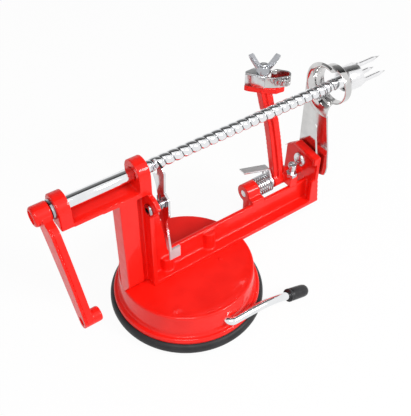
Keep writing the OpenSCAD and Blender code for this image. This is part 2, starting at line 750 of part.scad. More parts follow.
// Least gap of a wire to itself: from each point of its route to the stretches that lie more
// than half a turn away
function stretch_gap(q, a, b) = let (t = (q - a) * (b - a) / ((b - a) * (b - a)))
    norm(q - a - max(0, min(1, t)) * (b - a));
function wire_gap(p, d) = min([for (i = [0:len(p) - 1]) for (j = [0:len(p) - 2])
    if (abs(i - j) > rings_per_turn / 2) stretch_gap(p[i], p[j], p[j + 1])]) - d;
arm_coil_turns = arm_spring_turns + 1 / 4;
arm_spring_pitch = (spring_room - wire_d - 2 * gap) / arm_coil_turns;
arm_leg_in = pivot_back - wire_d / 2 - gap;
arm_leg_out = 6;
arm_route = coil_route(arm_spring_d / 2, arm_spring_pitch, arm_coil_turns, -90, arm_leg_in,
    arm_leg_out);
lever_spring_play = 1.2;
lever_leg = 5;
lever_spring_pitch = (lever_off - lever_t / 2 - lever_wire_d - 2 * gap) / lever_spring_turns;
lever_route = coil_route(rivet_d / 2 + lever_spring_play, lever_spring_pitch,
    lever_spring_turns, 0, lever_leg, lever_leg);
module arm_spring() {
    echo(arm_spring_gap = wire_gap(arm_route, wire_d));
    color(wire) translate([lug_x1 + gap + wire_d / 2, pivot_y, pivot_h])
        wound_wire(arm_route, wire_d / 2);
}
module lever_spring() {
    echo(lever_spring_gap = wire_gap(lever_route, lever_wire_d));
    color(wire) translate([post_x1 + gap + lever_wire_d / 2, rivet_y, rivet_h])
        wound_wire(lever_route, lever_wire_d / 2);
}

// Slicing blade: a plate with a slit, flared round into the coring ring
ring_r = ring_d / 2;
flare_out = 4.2;
blade_tail = 10.5;
blade_base = bolt_h - blade_tail;
flare_from = -20;
flare_sweep = 210;
slit_w = 1.5;
slit_head_r = 1.4;
// Outline in Y and Z from the shaft axis, as shares of the axis height above its base
blade_rise = shaft_h - blade_base;
blade_share = [[-0.155, -0.9], [-0.14, -0.91], [0.15, -1], [0.215, -0.94], [0.215, -0.28],
               [0.222, 0], [0, 0], [-0.03, -0.09], [-0.147, -0.61], [-0.172, -0.8]];
slit_share = [[0.03, -0.425], [-0.045, -0.78]];
blade_corner = 2.5;
// The flare and the ring are one turned wall, with the flare cut away on the user's side
module coring_ring() {
    inner_r = ring_r - slicer_t;
    difference() {
        rotate_extrude() polygon(concat(
            [for (t = [0:15:90]) [inner_r + flare_out * (1 - sin(t)), flare_len * (1 - cos(t))]],
            [[inner_r, flare_len + ring_len], [ring_r, flare_len + ring_len]],
            [for (t = [90:-15:0]) [inner_r + flare_out - (flare_out - slicer_t) * sin(t),
                flare_len - (flare_len - slicer_t) * cos(t)]]));
        translate([0, 0, -cut]) linear_extrude(flare_len + cut) polygon(concat([[0, 0]],
            [for (s = [0:1 / 4:1]) let (a = flare_from - s * (360 - flare_sweep))
                ring_d * [cos(a), sin(a)]]));
    }
}
module slicing_blade() {
    color(steel) {
        difference() {
            plate_x(blade_x0, slicer_t) offset(blade_corner, $fn = 24)
                offset(delta = -blade_corner) polygon([for (s = blade_share)
                    [shaft_y + s.x * blade_rise, shaft_h + s.y * blade_rise]]);
            bar_x(blade_x0 - cut, shaft_y, shaft_h, slicer_t + 2 * cut,
                ring_r - slicer_t + flare_out - seat);
            for (s = [-blade_play, blade_play])
                bar_x(blade_x0 - cut, bolt_y, bolt_h + s, slicer_t + 2 * cut, bolt_d / 2 + gap);
            translate([blade_x0 - cut, bolt_y - bolt_d / 2 - gap, bolt_h - blade_play])
                cube([slicer_t + 2 * cut, bolt_d + 2 * gap, 2 * blade_play]);
            plate_x(blade_x0 - cut, slicer_t + 2 * cut) polygon(strip([for (s = slit_share)
                [shaft_y + s.x * blade_rise, shaft_h + s.y * blade_rise]], slit_w / 2));
            bar_x(blade_x0 - cut, shaft_y + slit_share[0].x * blade_rise,
                shaft_h + slit_share[0].y * blade_rise, slicer_t + 2 * cut, slit_head_r);
        }
        translate([blade_x0, shaft_y, shaft_h]) rotate([0, 90, 0]) coring_ring();
    }
}
bolt_head_w = 2;
bolt_head_r = bolt_d / 2 + bolt_head_w;
bolt_head_t = 2.6;
bolt_nut_t = 3.6;
bolt_nut_w = 2.4;
bolt_out = 7.5;
cross_w = 1;
module blade_bolt() {
    color(steel) difference() {
        union() {
            bar_x(frame_x1 - post_plate_t - bolt_head_t / 2, bolt_y, bolt_h,
                post_plate_t + bolt_head_t / 2 + washer_t + slicer_t + bolt_out, bolt_d / 2);
            bar_x(frame_x1 - post_plate_t - bolt_head_t - seat, bolt_y, bolt_h, bolt_head_t,
                bolt_head_r);
        }
        for (a = [45, 135])
            translate([frame_x1 - post_plate_t - bolt_head_t - seat, bolt_y, bolt_h])
            rotate([a, 0, 0]) translate([-cut, -bolt_head_r / 2, -cross_w / 2])
            cube([cut + bolt_head_t / 2, bolt_head_r, cross_w]);
    }
}
module blade_washer() {
    color(steel) difference() {
        bar_x(frame_x1 + seat, bolt_y, bolt_h, washer_t, washer_d / 2);
        bar_x(frame_x1, bolt_y, bolt_h, washer_t + 2 * seat, bolt_d / 2 + blade_play + gap);
    }
}
module blade_nut() {
    color(steel) difference() {
        translate([blade_x0 + slicer_t + seat, bolt_y, bolt_h]) rotate([0, 90, 0])
            cylinder(h = bolt_nut_t, r = bolt_d / 2 + bolt_nut_w, $fn = 6);
        bar_x(blade_x0 + slicer_t, bolt_y, bolt_h, bolt_nut_t + 2 * seat, bolt_d / 2 + seat);
    }
}

// Peeling arm: a hub on the pivot pin, a bent ribbed arm and a head for the blade
stud_in = 3;
stud_back = 12.5;
stud_x = arm_x0 - stud_in;
stud_y = pivot_y + stud_back;
// Middle line of the arm from the hub up, seen from the front as shares of the hub's length
// and seen from the side as shares of the distance back to the stud
arm_front_share = [[0.31, 0], [0.3, 0.13], [0.12, 0.49], [-0.01, 0.68], [-0.1, 0.83],
                   [-0.17, 1]];
arm_side_share = [[0, 0], [0.02, 0.13], [0.26, 0.49], [0.38, 0.68], [0.69, 0.83], [0.96, 1]];
arm_rib_w = 3;
arm_rib_out = 1.8;
head_down = 0.6;
head_h = shaft_h - head_down;
head_top = head_h + head_t;
arm_rise = head_h + head_t / 2 - pivot_h;
stop_wall = 1.25;
stop_block_w = stop_d + 2 * stop_wall;
stop_block_up = 4.5;
stop_block_gap = 0.5;
stop_block_down = pivot_rise - stop_block_gap;
stop_x = arm_x0 + arm_hub_len - stop_block_w / 2;
stop_y = web_back;
stop_top = pivot_h + stop_block_up;
// Outline of the head's plate in X and Y from the stud, as shares of its reach
head_share = [[-0.83, 0.48], [-0.74, 0.29], [-0.17, -0.37], [0.32, -0.75], [0.79, -0.79],
              [1, -0.48], [0.9, -0.03], [0.67, 0.35]];
function arm_line(share, w) = [for (s = share) [s.x * w, pivot_h + s.y * arm_rise]];
module arm_shape(front_w, side_d, forward) {
    intersection() {
        plate_y(0, 2 * stud_y) translate([arm_x0, 0])
            polygon(strip(arm_line(arm_front_share, arm_hub_len), front_w / 2));
        plate_x(arm_x0 - arm_w, 3 * arm_w) translate([pivot_y - forward / 2, 0])
            polygon(strip(arm_line(arm_side_share, stud_back), (side_d + forward) / 2));
    }
}
module peel_arm() {
    color(red) difference() {
        union() {
            bar_x(arm_x0, pivot_y, pivot_h, arm_hub_len, arm_hub_d / 2);
            arm_shape(arm_w, arm_depth, 0);
            arm_shape(arm_rib_w, arm_depth, arm_rib_out);
            translate([stud_x, stud_y, head_h]) linear_extrude(head_t)
                polygon(head_reach * head_share);
            translate([stop_x - stop_block_w / 2, stop_y - stop_block_w / 2,
                       pivot_h - stop_block_down])
                cube([stop_block_w, pivot_back + stop_block_w / 2,
                      stop_block_up + stop_block_down]);
        }
        bar_x(arm_x0 - cut, pivot_y, pivot_h, arm_hub_len + 2 * cut, pivot_d / 2 + run_gap);
        translate([stop_x, stop_y, pivot_h - stop_block_down - cut])
            cylinder(h = stop_block_up + stop_block_down + 2 * cut, r = stop_d / 2 + seat);
        translate([stud_x, stud_y, head_h])
            cylinder(h = head_t + cut, r = stud_d / 2 + seat);
    }
}
module pivot_pin() {
    color(steel) bar_x(lug_x, pivot_y, pivot_h, frame_x1 - lug_x, pivot_d / 2);
}

// Latch: a thin steel eye on the pin with a finger tab bent over the spring
latch_eye_w = 1.9;
latch_w = 6;
latch_clear = 2.4;
latch_rise = (arm_spring_d + wire_d) / 2 + latch_clear + latch_t;
latch_lean = 4;
latch_tab = 17.6;
latch_tab_turn = 20;
module arm_latch() {
    color(steel) {
        difference() {
            union() {
                bar_x(latch_x, pivot_y, pivot_h, latch_t, pivot_d / 2 + latch_eye_w);
                plate_x(latch_x, latch_t) translate([pivot_y, pivot_h]) polygon([
                    [-latch_w / 2, 0], [latch_w / 2, 0],
                    [latch_lean + latch_w / 2, latch_rise], [latch_lean - latch_w / 2, latch_rise]]);
            }
            bar_x(latch_x - cut, pivot_y, pivot_h, latch_t + 2 * cut, pivot_d / 2 + run_gap);
        }
        translate([latch_x + latch_t, pivot_y + latch_lean - latch_w / 2,
                   pivot_h + latch_rise - latch_t])
            linear_extrude(latch_t) polygon([
                [0, 0], [0, latch_w],
                [-latch_tab, latch_w + latch_tab * tan(latch_tab_turn)],
                [-latch_tab, latch_tab * tan(latch_tab_turn)]]);
    }
}

// Stop screw and its lock nut, upright in the arm's block
stop_head_w = 0.9;
stop_head_r = stop_d / 2 + stop_head_w;
stop_head_h = 4;
stop_up = 10.5;
stop_nut_t = 3;
stop_nut_w = 1.9;
stop_slot_w = 0.9;
stop_slot_deep = 1.4;
module stop_screw() {
    color(steel) difference() {
        union() {
            translate([stop_x, stop_y, arm_top + gap])
                cylinder(h = stop_top + stop_up - arm_top - gap - stop_head_h / 2, r = stop_d / 2);
            translate([stop_x, stop_y, stop_top + stop_up - stop_head_h])
                cylinder(h = stop_head_h, r = stop_head_r);
        }
        translate([stop_x - stop_head_r - cut, stop_y - stop_slot_w / 2,
                   stop_top + stop_up - stop_slot_deep])
            cube([2 * (stop_head_r + cut), stop_slot_w, stop_slot_deep + cut]);
    }
}
module stop_nut() {
    color(steel) difference() {
        translate([stop_x, stop_y, stop_top + seat])
            cylinder(h = stop_nut_t, r = stop_d / 2 + stop_nut_w, $fn = 6);
        translate([stop_x, stop_y, stop_top]) cylinder(h = stop_nut_t + cut, r = stop_d / 2 + seat);
    }
}

// Peeling blade: a standing band, open at the back, bent round a nose
// Route of the band in X and Y from the stud, as shares of the head's reach, with the nose
// as an arc
nose_share = [0.95, -0.59];
nose_r_share = 0.25;
band_share = concat(
    [[-0.75, 0.44], [-0.11, -0.29], [0.3, -0.61]],
    [for (t = [240:20:400]) nose_share + nose_r_share * [cos(t), sin(t)]],
    [[0.84, -0.06], [0.51, 0]]);
module peel_blade() {
    color(steel) translate([stud_x, stud_y, head_top + seat])
        linear_extrude(band_h) polygon(strip(head_reach * band_share, band_t / 2));
}
clamp_z = head_top + band_h + 2 * seat;
clamp_share = [[-0.79, 0.47], [-0.1, -0.29], [0.86, -0.1], [0.66, 0.3]];
module clamp_plate() {
    color(steel) difference() {
        translate([stud_x, stud_y, clamp_z]) linear_extrude(clamp_t)
            polygon(head_reach * clamp_share);
        translate([stud_x, stud_y, clamp_z - cut])
            cylinder(h = clamp_t + 2 * cut, r = stud_d / 2 + seat);
    }
}
stud_out = 1.5;
module clamp_stud() {
    color(steel) translate([stud_x, stud_y, head_h + seat])
        cylinder(h = clamp_z + clamp_t + wing_nut_h + stud_out - head_h, r = stud_d / 2);
}

// Wing nut: a hub that narrows upwards and two rounded wings
wing_turn = -20;
wing_t = 1.8;
wing_rise = 4.6;
wing_r = 3.4;
nut_wall = 2.6;
nut_r = stud_d / 2 + nut_wall;
nut_draw = 1.2;
module wing_nut() {
    color(steel) translate([stud_x, stud_y, clamp_z + clamp_t + seat]) rotate([0, 0, wing_turn])
        difference() {
            union() {
                rotate_extrude() polygon([[0, 0], [nut_r, 0], [nut_r - nut_draw, wing_nut_h],
                    [0, wing_nut_h]]);
                for (s = [-1, 1]) translate([0, wing_t / 2, 0]) rotate([90, 0, 0])
                    linear_extrude(wing_t) {
                        translate([s * (wing_span / 2 - wing_r), wing_nut_h + wing_rise - wing_r])
                            circle(wing_r);
                        polygon([[0, wing_nut_h / 4], [s * nut_r, wing_nut_h / 4],
                            [s * wing_span / 2, wing_nut_h + wing_rise - wing_r],
                            [s * (wing_span / 2 - 2 * wing_r), wing_nut_h + wing_rise - wing_r],
                            [0, 6 * wing_nut_h / 7]]);
                    }
            }
            translate([0, 0, -cut])
                cylinder(h = wing_nut_h + wing_rise + 2 * cut, r = stud_d / 2 + run_gap);
        }
}

frame();
base_cover();
cup_rim();
cup_membrane();
cup_stem();
suction_lever();
lever_tip();
base_screw_a();
base_screw_b();
drive_shaft();
fork();
crank_arm();
crank_pin();
thrust_washer();
release_lever();
lever_rivet();
lever_spring();
slicing_blade();
blade_bolt();
blade_washer();
blade_nut();
peel_arm();
pivot_pin();
arm_spring();
arm_latch();
stop_screw();
stop_nut();
peel_blade();
clamp_plate();
clamp_stud();
wing_nut();
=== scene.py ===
import json
import math
import bmesh
import bpy
import numpy as np
from mathutils import Matrix, Vector

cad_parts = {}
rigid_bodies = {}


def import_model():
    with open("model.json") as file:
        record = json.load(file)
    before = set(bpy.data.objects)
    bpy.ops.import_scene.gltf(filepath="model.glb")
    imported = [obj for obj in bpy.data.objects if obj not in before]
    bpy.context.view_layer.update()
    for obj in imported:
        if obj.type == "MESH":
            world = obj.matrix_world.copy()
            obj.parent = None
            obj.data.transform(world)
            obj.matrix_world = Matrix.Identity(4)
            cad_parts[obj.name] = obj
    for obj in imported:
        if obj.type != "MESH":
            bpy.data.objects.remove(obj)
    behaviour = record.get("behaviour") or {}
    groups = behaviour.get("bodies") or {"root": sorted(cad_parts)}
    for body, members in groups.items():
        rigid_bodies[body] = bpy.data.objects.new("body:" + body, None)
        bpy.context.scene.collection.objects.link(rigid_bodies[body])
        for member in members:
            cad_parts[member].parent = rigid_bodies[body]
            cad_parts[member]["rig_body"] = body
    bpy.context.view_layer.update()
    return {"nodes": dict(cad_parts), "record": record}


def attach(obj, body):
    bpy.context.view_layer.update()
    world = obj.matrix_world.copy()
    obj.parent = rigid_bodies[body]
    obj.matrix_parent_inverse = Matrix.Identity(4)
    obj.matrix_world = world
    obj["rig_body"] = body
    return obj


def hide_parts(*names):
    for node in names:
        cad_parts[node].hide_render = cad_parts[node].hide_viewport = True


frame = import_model()

MM = 0.001
TURN = 2 * np.pi
SAME_POINT = 1e-7      # metres within which two points of a computed skin are one
SAME_CORNER = 2e-6     # the same for a copy of a CAD mesh
POLE = 1e-6            # mm: a section narrower than this is a point
SLOT_OF = {row["node"]: row["material_slot"] for row in frame["record"]["subparts"]}

# Axes of the peeler, in millimetres
SHAFT_Y, SHAFT_Z = 4.0, 123.6
AXLE_Z = 20.0
PIVOT_Y, PIVOT_Z = 14.0, 52.0
RIVET_Y, RIVET_Z = -5.1, 100.3
STUD_X, STUD_Y = 78.0, 26.5
BOLT_Y, BOLT_Z = 12.5, 60.5


# ---------------------------------------------------------------- pieces

def placed(name, data):
    """A new object at the origin of the scene."""
    thing = bpy.data.objects.new(name, data)
    bpy.context.scene.collection.objects.link(thing)
    return thing


def settle(name, mesh, body, finish, node):
    """Makes the mesh an object with one finish, which rides on its body in the node's place."""
    piece = placed(name, mesh)
    mesh.materials.clear()
    mesh.materials.append(finish)
    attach(piece, body)
    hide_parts(node)
    return piece


def solid(name, parts):
    """One mesh of the closed skins in parts (points in mm, faces), with its faces outward."""
    points = np.concatenate([p for p, _ in parts]) * MM
    faces, start = [], 0
    for p, f in parts:
        faces += [tuple(i + start for i in q) for q in f]
        start += len(p)
    mesh = bpy.data.meshes.new(name)
    mesh.from_pydata(points.tolist(), [], faces)
    bm = bmesh.new()
    bm.from_mesh(mesh)
    bmesh.ops.remove_doubles(bm, verts=bm.verts, dist=SAME_POINT)
    bmesh.ops.recalc_face_normals(bm, faces=bm.faces)
    bm.to_mesh(mesh)
    bm.free()
    return mesh


def keep(name, parts, body, finish, node, smooth):
    """A piece made of computed skins, shaded smooth except at edges sharper than smooth."""
    mesh = solid(name, parts)
    mesh.shade_smooth()
    mesh.set_sharp_from_angle(angle=math.radians(smooth))
    return settle(name, mesh, body, finish, node)


def drilled(piece, holes):
    """Takes closed skins out of a piece, then keeps the result as its own mesh."""
    for hole in holes:
        tool = placed("hole", solid("hole", [hole]))
        take = piece.modifiers.new("hole", "BOOLEAN")
        take.operation, take.object, take.solver = "DIFFERENCE", tool, "EXACT"
        bpy.context.view_layer.update()
        view = bpy.context.evaluated_depsgraph_get()
        cut_mesh = bpy.data.meshes.new_from_object(piece.evaluated_get(view))
        piece.modifiers.clear()
        piece.data = cut_mesh
        bpy.data.objects.remove(tool)


def cast_skin(piece, voxel, rounds):
    """Gives a piece a cast skin: its form is taken again in voxels of that many mm, and its
    edges are worn round by averaging neighbours."""
    again = piece.modifiers.new("skin", "REMESH")
    again.mode, again.voxel_size, again.use_smooth_shade = "VOXEL", voxel * MM, True
    worn = piece.modifiers.new("worn", "SMOOTH")
    worn.factor, worn.iterations = 0.5, rounds


def cad_copy(node, name, flatten):
    """A copy of a CAD mesh with its doubled corners merged, and its flat faces joined where
    flatten says so."""
    mesh = frame["nodes"][node].data.copy()
    bm = bmesh.new()
    bm.from_mesh(mesh)
    bmesh.ops.remove_doubles(bm, verts=bm.verts, dist=SAME_CORNER)
    if flatten:
        bmesh.ops.dissolve_limit(bm, angle_limit=math.radians(0.5), verts=bm.verts,
                                 edges=bm.edges)
    bm.to_mesh(mesh)
    bm.free()
    mesh.name = name
    return mesh


def moulded(node, name, body, finish, voxel, rounds):
    """A copy of a CAD node as a casting."""
    mesh = cad_copy(node, name, flatten=False)
    cast_skin(settle(name, mesh, body, finish, node), voxel, rounds)


def eased(node, name, body, finish, width, angle=35):
    """A copy of a CAD node whose edges sharper than angle get a small round, width mm wide."""
    mesh = cad_copy(node, name, flatten=True)
    mesh.shade_smooth()
    mesh.set_sharp_from_angle(angle=math.radians(angle))
    ease = settle(name, mesh, body, finish, node).modifiers.new("ease", "BEVEL")
    ease.width, ease.segments, ease.limit_method = width * MM, 2, "ANGLE"
    ease.angle_limit, ease.harden_normals = math.radians(angle), True


# ---------------------------------------------------------------- skins

def quads(grid_i, next_i, grid_j, next_j, cols):
    """Faces between two rows and two columns of a grid, numbered row by row."""
    return np.stack([grid_i * cols + grid_j, grid_i * cols + next_j,
                     next_i * cols + next_j, next_i * cols + grid_j], -1).reshape(-1, 4)


def skin(grid, joined=False):
    """Faces of a grid of points: rows are closed sections, neighbouring rows are joined by
    quads, and the last row by the first where joined says so. Otherwise an end row that has
    any width gets one flat face, and one that is a point is a pole."""
    rows, cols = grid.shape[:2]
    i = np.arange(rows if joined else rows - 1)[:, None]
    j = np.arange(cols)[None, :]
    faces = quads(i, (i + 1) % rows, j, (j + 1) % cols, cols).tolist()
    ends = () if joined else ((0, -1), (rows - 1, 1))
    faces += [(row * cols + np.arange(cols))[::turn].tolist() for row, turn in ends
              if np.ptp(grid[row], axis=0).max() > POLE]
    return grid.reshape(-1, 3), faces


def about(axis, along, c, s):
    """Points from their distance along an axis and their two distances square to it."""
    return np.stack({"x": (along, c, s), "y": (s, along, c), "z": (c, s, along)}[axis], -1)


def turned(outline, at, axis="x", sides=64, bumps=None, joined=False):
    """A turned skin: each outline point (along, out) goes round the axis at the given place.
    Point = place + along * axis + out * (cos t, sin t) square to it. bumps adds to out, and
    joined closes the outline on itself, as of a ring."""
    line = np.asarray(outline, float)
    t = np.arange(sides) / sides * TURN
    along = np.repeat(line[:, :1], sides, 1)
    out = np.repeat(line[:, 1:], sides, 1)
    if bumps is not None:
        out = out + bumps(along, t[None, :])
    grid = about(axis, along, out * np.cos(t), out * np.sin(t))
    return skin(grid + np.asarray(at, float), joined)


def rounded(corners, radius, steps=5):
    """An outline whose corners are rounded: each corner becomes a curve of second degree that
    leaves its two sides radius away, but within 0.45 of the shorter side."""
    p = np.asarray(corners, float)
    r = np.broadcast_to(radius, len(p)).astype(float)
    before, after = np.roll(p, 1, 0) - p, np.roll(p, -1, 0) - p
    lb, la = np.linalg.norm(before, axis=1), np.linalg.norm(after, axis=1)
    cut = np.minimum(r, 0.45 * np.minimum(lb, la))[:, None]
    a, b = p + before / lb[:, None] * cut, p + after / la[:, None] * cut
    t = np.linspace(0, 1, steps)[None, :, None]
    curve = (1 - t) ** 2 * a[:, None] + 2 * t * (1 - t) * p[:, None] + t ** 2 * b[:, None]
    return curve.reshape(-1, p.shape[1])


def swept(path, radius, sides=16, section=None, up=(1, 0, 0)):
    """A rod along a path: ring i is square to the path and radius[i] out, and the section's
    second axis keeps facing along up. The section is a circle, or a closed outline."""
    p = np.asarray(path, float)
    t = np.gradient(p, axis=0)
    t /= np.linalg.norm(t, axis=1)[:, None]
    side = np.cross(t, np.asarray(up, float))
    side /= np.linalg.norm(side, axis=1)[:, None]
    over = np.cross(side, t)
    if section is None:
        a = np.arange(sides) / sides * TURN
        section = np.stack([np.cos(a), np.sin(a)], -1)
    r = np.broadcast_to(radius, len(p)).astype(float)[:, None, None]
    ring = section[None, :, :1] * side[:, None] + section[None, :, 1:] * over[:, None]
    return skin(p[:, None] + r * ring)


def plate(outline, start, thick, axis="x", edge=0.35, steps=4):
    """A flat plate with rounded edges: the outline is carried from one face to the other
    along a quarter circle, a straight side and another quarter circle, pulled in by edge."""
    line = np.asarray(outline, float)
    after = np.roll(line, -1, 0) - line
    before = line - np.roll(line, 1, 0)
    tangent = after / np.linalg.norm(after, axis=1)[:, None]
    tangent = tangent + before / np.linalg.norm(before, axis=1)[:, None]
    tangent /= np.linalg.norm(tangent, axis=1)[:, None]
    normal = np.stack([tangent[:, 1], -tangent[:, 0]], -1)
    area = np.sum(line[:, 0] * np.roll(line[:, 1], -1) - np.roll(line[:, 0], -1) * line[:, 1])
    normal *= np.sign(area)
    q = np.linspace(0, np.pi / 2, steps)
    inset = np.concatenate([edge * (1 - np.sin(q)), edge * (1 - np.cos(q))])
    depth = np.concatenate([edge * (1 - np.cos(q)), thick - edge + edge * np.sin(q)])
    flat = line[None] - inset[:, None, None] * normal[None]
    deep = np.broadcast_to(start + depth[:, None], flat.shape[:2])
    u, v = flat[..., 0], flat[..., 1]
    return skin(np.stack({"x": (deep, u, v), "z": (u, v, deep)}[axis], -1))


def helical(at, x0, x1, pitch, outline, turn, sides):
    """A screw's skin from x0 to x1: the outline of one pitch (along, out) is carried round X
    while it moves one pitch a turn, and each turn's last point is joined to the next turn's
    first. Point = start + along + pitch * t, out * (cos, sin)(turn + t)."""
    line = np.asarray(outline, float)
    turns = math.ceil((x1 - x0) / pitch) + 2
    i = np.arange(turns * sides + 1)[:, None]
    a = turn + i / sides * TURN
    along = x0 - pitch + line[None, :, 0] + pitch * i / sides
    out = np.repeat(line[None, :, 1], len(i), 0)
    out = np.where((along < x0) | (along > x1), np.minimum(out, line[:, 1].min()), out)
    along = np.clip(along, x0, x1)
    grid = about("x", along, out * np.cos(a), out * np.sin(a)) + np.asarray(at, float)
    rows, cols = grid.shape[:2]
    r, k = np.arange(rows - 1)[:, None], np.arange(cols - 1)[None, :]
    m = np.arange(rows - 1 - sides)
    seam = np.stack([m * cols + cols - 1, (m + sides) * cols, (m + sides + 1) * cols,
                     (m + 1) * cols + cols - 1], -1)
    faces = np.concatenate([quads(r, r + 1, k, k + 1, cols), seam]).tolist()
    return grid.reshape(-1, 3), faces


def smooth_path(points, count):
    """A path through the points: a Catmull-Rom curve, evenly stepped in its parameter."""
    p = np.asarray(points, float)
    p = np.concatenate([2 * p[:1] - p[1:2], p, 2 * p[-1:] - p[-2:-1]])
    s = np.linspace(0, len(p) - 3 - 1e-9, count)
    i = s.astype(int)
    f = (s - i)[:, None]
    a, b, c, d = p[i], p[i + 1], p[i + 2], p[i + 3]
    return 0.5 * (2 * b + (c - a) * f + (2 * a - 5 * b + 4 * c - d) * f ** 2
                  + (3 * b - a - 3 * c + d) * f ** 3)


COIL_STEPS, LEG_STEPS = 28, 6        # points in a turn of wire, and in a leg


def coil(at, r, pitch, turns, start, leg_in, leg_out, wire):
    """A wound wire: leg in, a helix of the given radius and pitch about X, leg out."""
    a = math.radians(start) + np.linspace(0, turns, int(turns * COIL_STEPS) + 1) * TURN
    x = np.linspace(0, turns, len(a)) * pitch
    helix = np.stack([x, r * np.cos(a), r * np.sin(a)], -1)
    tangent = np.stack([np.zeros(len(a)), -np.sin(a), np.cos(a)], -1)
    before = np.linspace(leg_in, leg_in / LEG_STEPS, LEG_STEPS)[:, None]
    after = np.linspace(leg_out / LEG_STEPS, leg_out, LEG_STEPS)[:, None]
    first, last = helix[0] - before * tangent[0], helix[-1] + after * tangent[-1]
    path = np.concatenate([first, helix, last]) + np.asarray(at, float)
    return swept(path, wire / 2, 12)


# ---------------------------------------------------------------- finishes

CHROME_TINTS = (0.78, 0.79, 0.81), (0.86, 0.87, 0.88)
CHROME_ROUGH = (0.05, 0.12)
CHROME_RELIEF, CHROME_GRAIN = 0.0008, 1.2
METAL_CLOUD = 9
# painted shade: the dark colour laid into the shaft's thread groove
GROOVE_SHADE = (0.16, 0.16, 0.165, 1)
NOISE_LOW, NOISE_HIGH = 0.3, 0.7     # between these lies nearly all that the noise gives


def start_finish(name):
    """A node material on object coordinates: (material, nodes, link, shader, place)."""
    finish = bpy.data.materials.new(name)
    finish.use_nodes = True
    nodes, link = finish.node_tree.nodes, finish.node_tree.links.new
    shader = nodes["Principled BSDF"]
    place = nodes.new("ShaderNodeTexCoord").outputs["Object"]
    return finish, nodes, link, shader, place


def speckle(nodes, link, place, size, detail=3.0, stretch=None):
    """Noise whose grains are size mm across, drawn out along an axis by stretch."""
    if stretch is not None:
        mapping = nodes.new("ShaderNodeMapping")
        mapping.inputs["Scale"].default_value = stretch
        link(place, mapping.inputs["Vector"])
        place = mapping.outputs["Vector"]
    noise = nodes.new("ShaderNodeTexNoise")
    noise.inputs["Scale"].default_value = 1 / MM / size
    noise.inputs["Detail"].default_value = detail
    link(place, noise.inputs["Vector"])
    return noise.outputs["Fac"]


def spread(nodes, link, value, low, high, start=NOISE_LOW, stop=NOISE_HIGH):
    """Moves a value from the range start to stop into the range low to high."""
    reach = nodes.new("ShaderNodeMapRange")
    reach.inputs["From Min"].default_value = start
    reach.inputs["From Max"].default_value = stop
    reach.inputs["To Min"].default_value = low
    reach.inputs["To Max"].default_value = high
    link(value, reach.inputs["Value"])
    return reach.outputs["Result"]


def tint(nodes, link, value, dark, light):
    """A ramp of two colours read by a noise."""
    ramp = nodes.new("ShaderNodeValToRGB")
    ramp.color_ramp.elements[0].position = NOISE_LOW
    ramp.color_ramp.elements[1].position = NOISE_HIGH
    ramp.color_ramp.elements[0].color = (*dark, 1)
    ramp.color_ramp.elements[1].color = (*light, 1)
    link(value, ramp.inputs["Fac"])
    return ramp.outputs["Color"]


def relief(nodes, link, shader, value, depth):
    """Bumps the shader's normal by depth mm."""
    bump = nodes.new("ShaderNodeBump")
    bump.inputs["Distance"].default_value = depth * MM
    bump.inputs["Strength"].default_value = 1.0
    link(value, bump.inputs["Height"])
    link(bump.outputs["Normal"], shader.inputs["Normal"])


def enamel(name, dark, light):
    """Glossy baked enamel: an even colour, a clear coat and a faint orange peel."""
    finish, nodes, link, shader, place = start_finish(name)
    cloud = speckle(nodes, link, place, size=14)
    gloss = speckle(nodes, link, place, size=5)
    peel = speckle(nodes, link, place, size=1.6, detail=1.0)
    link(tint(nodes, link, cloud, dark, light), shader.inputs["Base Color"])
    link(spread(nodes, link, gloss, 0.3, 0.42), shader.inputs["Roughness"])
    shader.inputs["Specular IOR Level"].default_value = 0.12
    shader.inputs["Coat Weight"].default_value = 0.3
    shader.inputs["Coat Roughness"].default_value = 0.06
    shader.inputs["Coat IOR"].default_value = 1.55
    relief(nodes, link, shader, peel, 0.012)
    return finish


def metal(name, dark, light, rough, depth, grain, stretch=None):
    """Bare or plated steel: metallic, with clouded gloss and a fine grain along its length.
    rough is its range, or None for a caller that links the roughness itself."""
    finish, nodes, link, shader, place = start_finish(name)
    shader.inputs["Metallic"].default_value = 1.0
    cloud = speckle(nodes, link, place, METAL_CLOUD)
    link(tint(nodes, link, cloud, dark, light), shader.inputs["Base Color"])
    fine = speckle(nodes, link, place, grain, stretch=stretch)
    if rough is not None:
        link(spread(nodes, link, fine, *rough), shader.inputs["Roughness"])
    relief(nodes, link, shader, fine, depth)
    return finish


def moulding(name, dark, light, rough, depth, grain):
    """Moulded rubber or plastic: a dull dark colour with a fine mould grain."""
    finish, nodes, link, shader, place = start_finish(name)
    cloud = speckle(nodes, link, place, size=6)
    gloss = speckle(nodes, link, place, size=3)
    link(tint(nodes, link, cloud, dark, light), shader.inputs["Base Color"])
    link(spread(nodes, link, gloss, *rough), shader.inputs["Roughness"])
    shader.inputs["Specular IOR Level"].default_value = 0.28
    relief(nodes, link, shader, speckle(nodes, link, place, grain), depth)
    return finish


def groove_shaded(name):
    """The shaft's chrome, with painted shade, a dark grey, wherever its mesh says "groove_depth".
    """
    finish, nodes, link, shader, place = start_finish(name)
    shader.inputs["Metallic"].default_value = 1.0
    bright = tint(nodes, link, speckle(nodes, link, place, METAL_CLOUD), *CHROME_TINTS)
    depth = nodes.new("ShaderNodeAttribute")
    depth.attribute_name = "groove_depth"
    # painted shade: the groove's points take the dark colour in place of chrome
    mix = nodes.new("ShaderNodeMix")
    mix.data_type = "RGBA"
    mix.inputs["B"].default_value = GROOVE_SHADE
    link(depth.outputs["Fac"], mix.inputs["Factor"])
    link(bright, mix.inputs["A"])
    link(mix.outputs["Result"], shader.inputs["Base Color"])
    fine = speckle(nodes, link, place, CHROME_GRAIN)
    link(spread(nodes, link, fine, *CHROME_ROUGH), shader.inputs["Roughness"])
    relief(nodes, link, shader, fine, CHROME_RELIEF)
    return finish


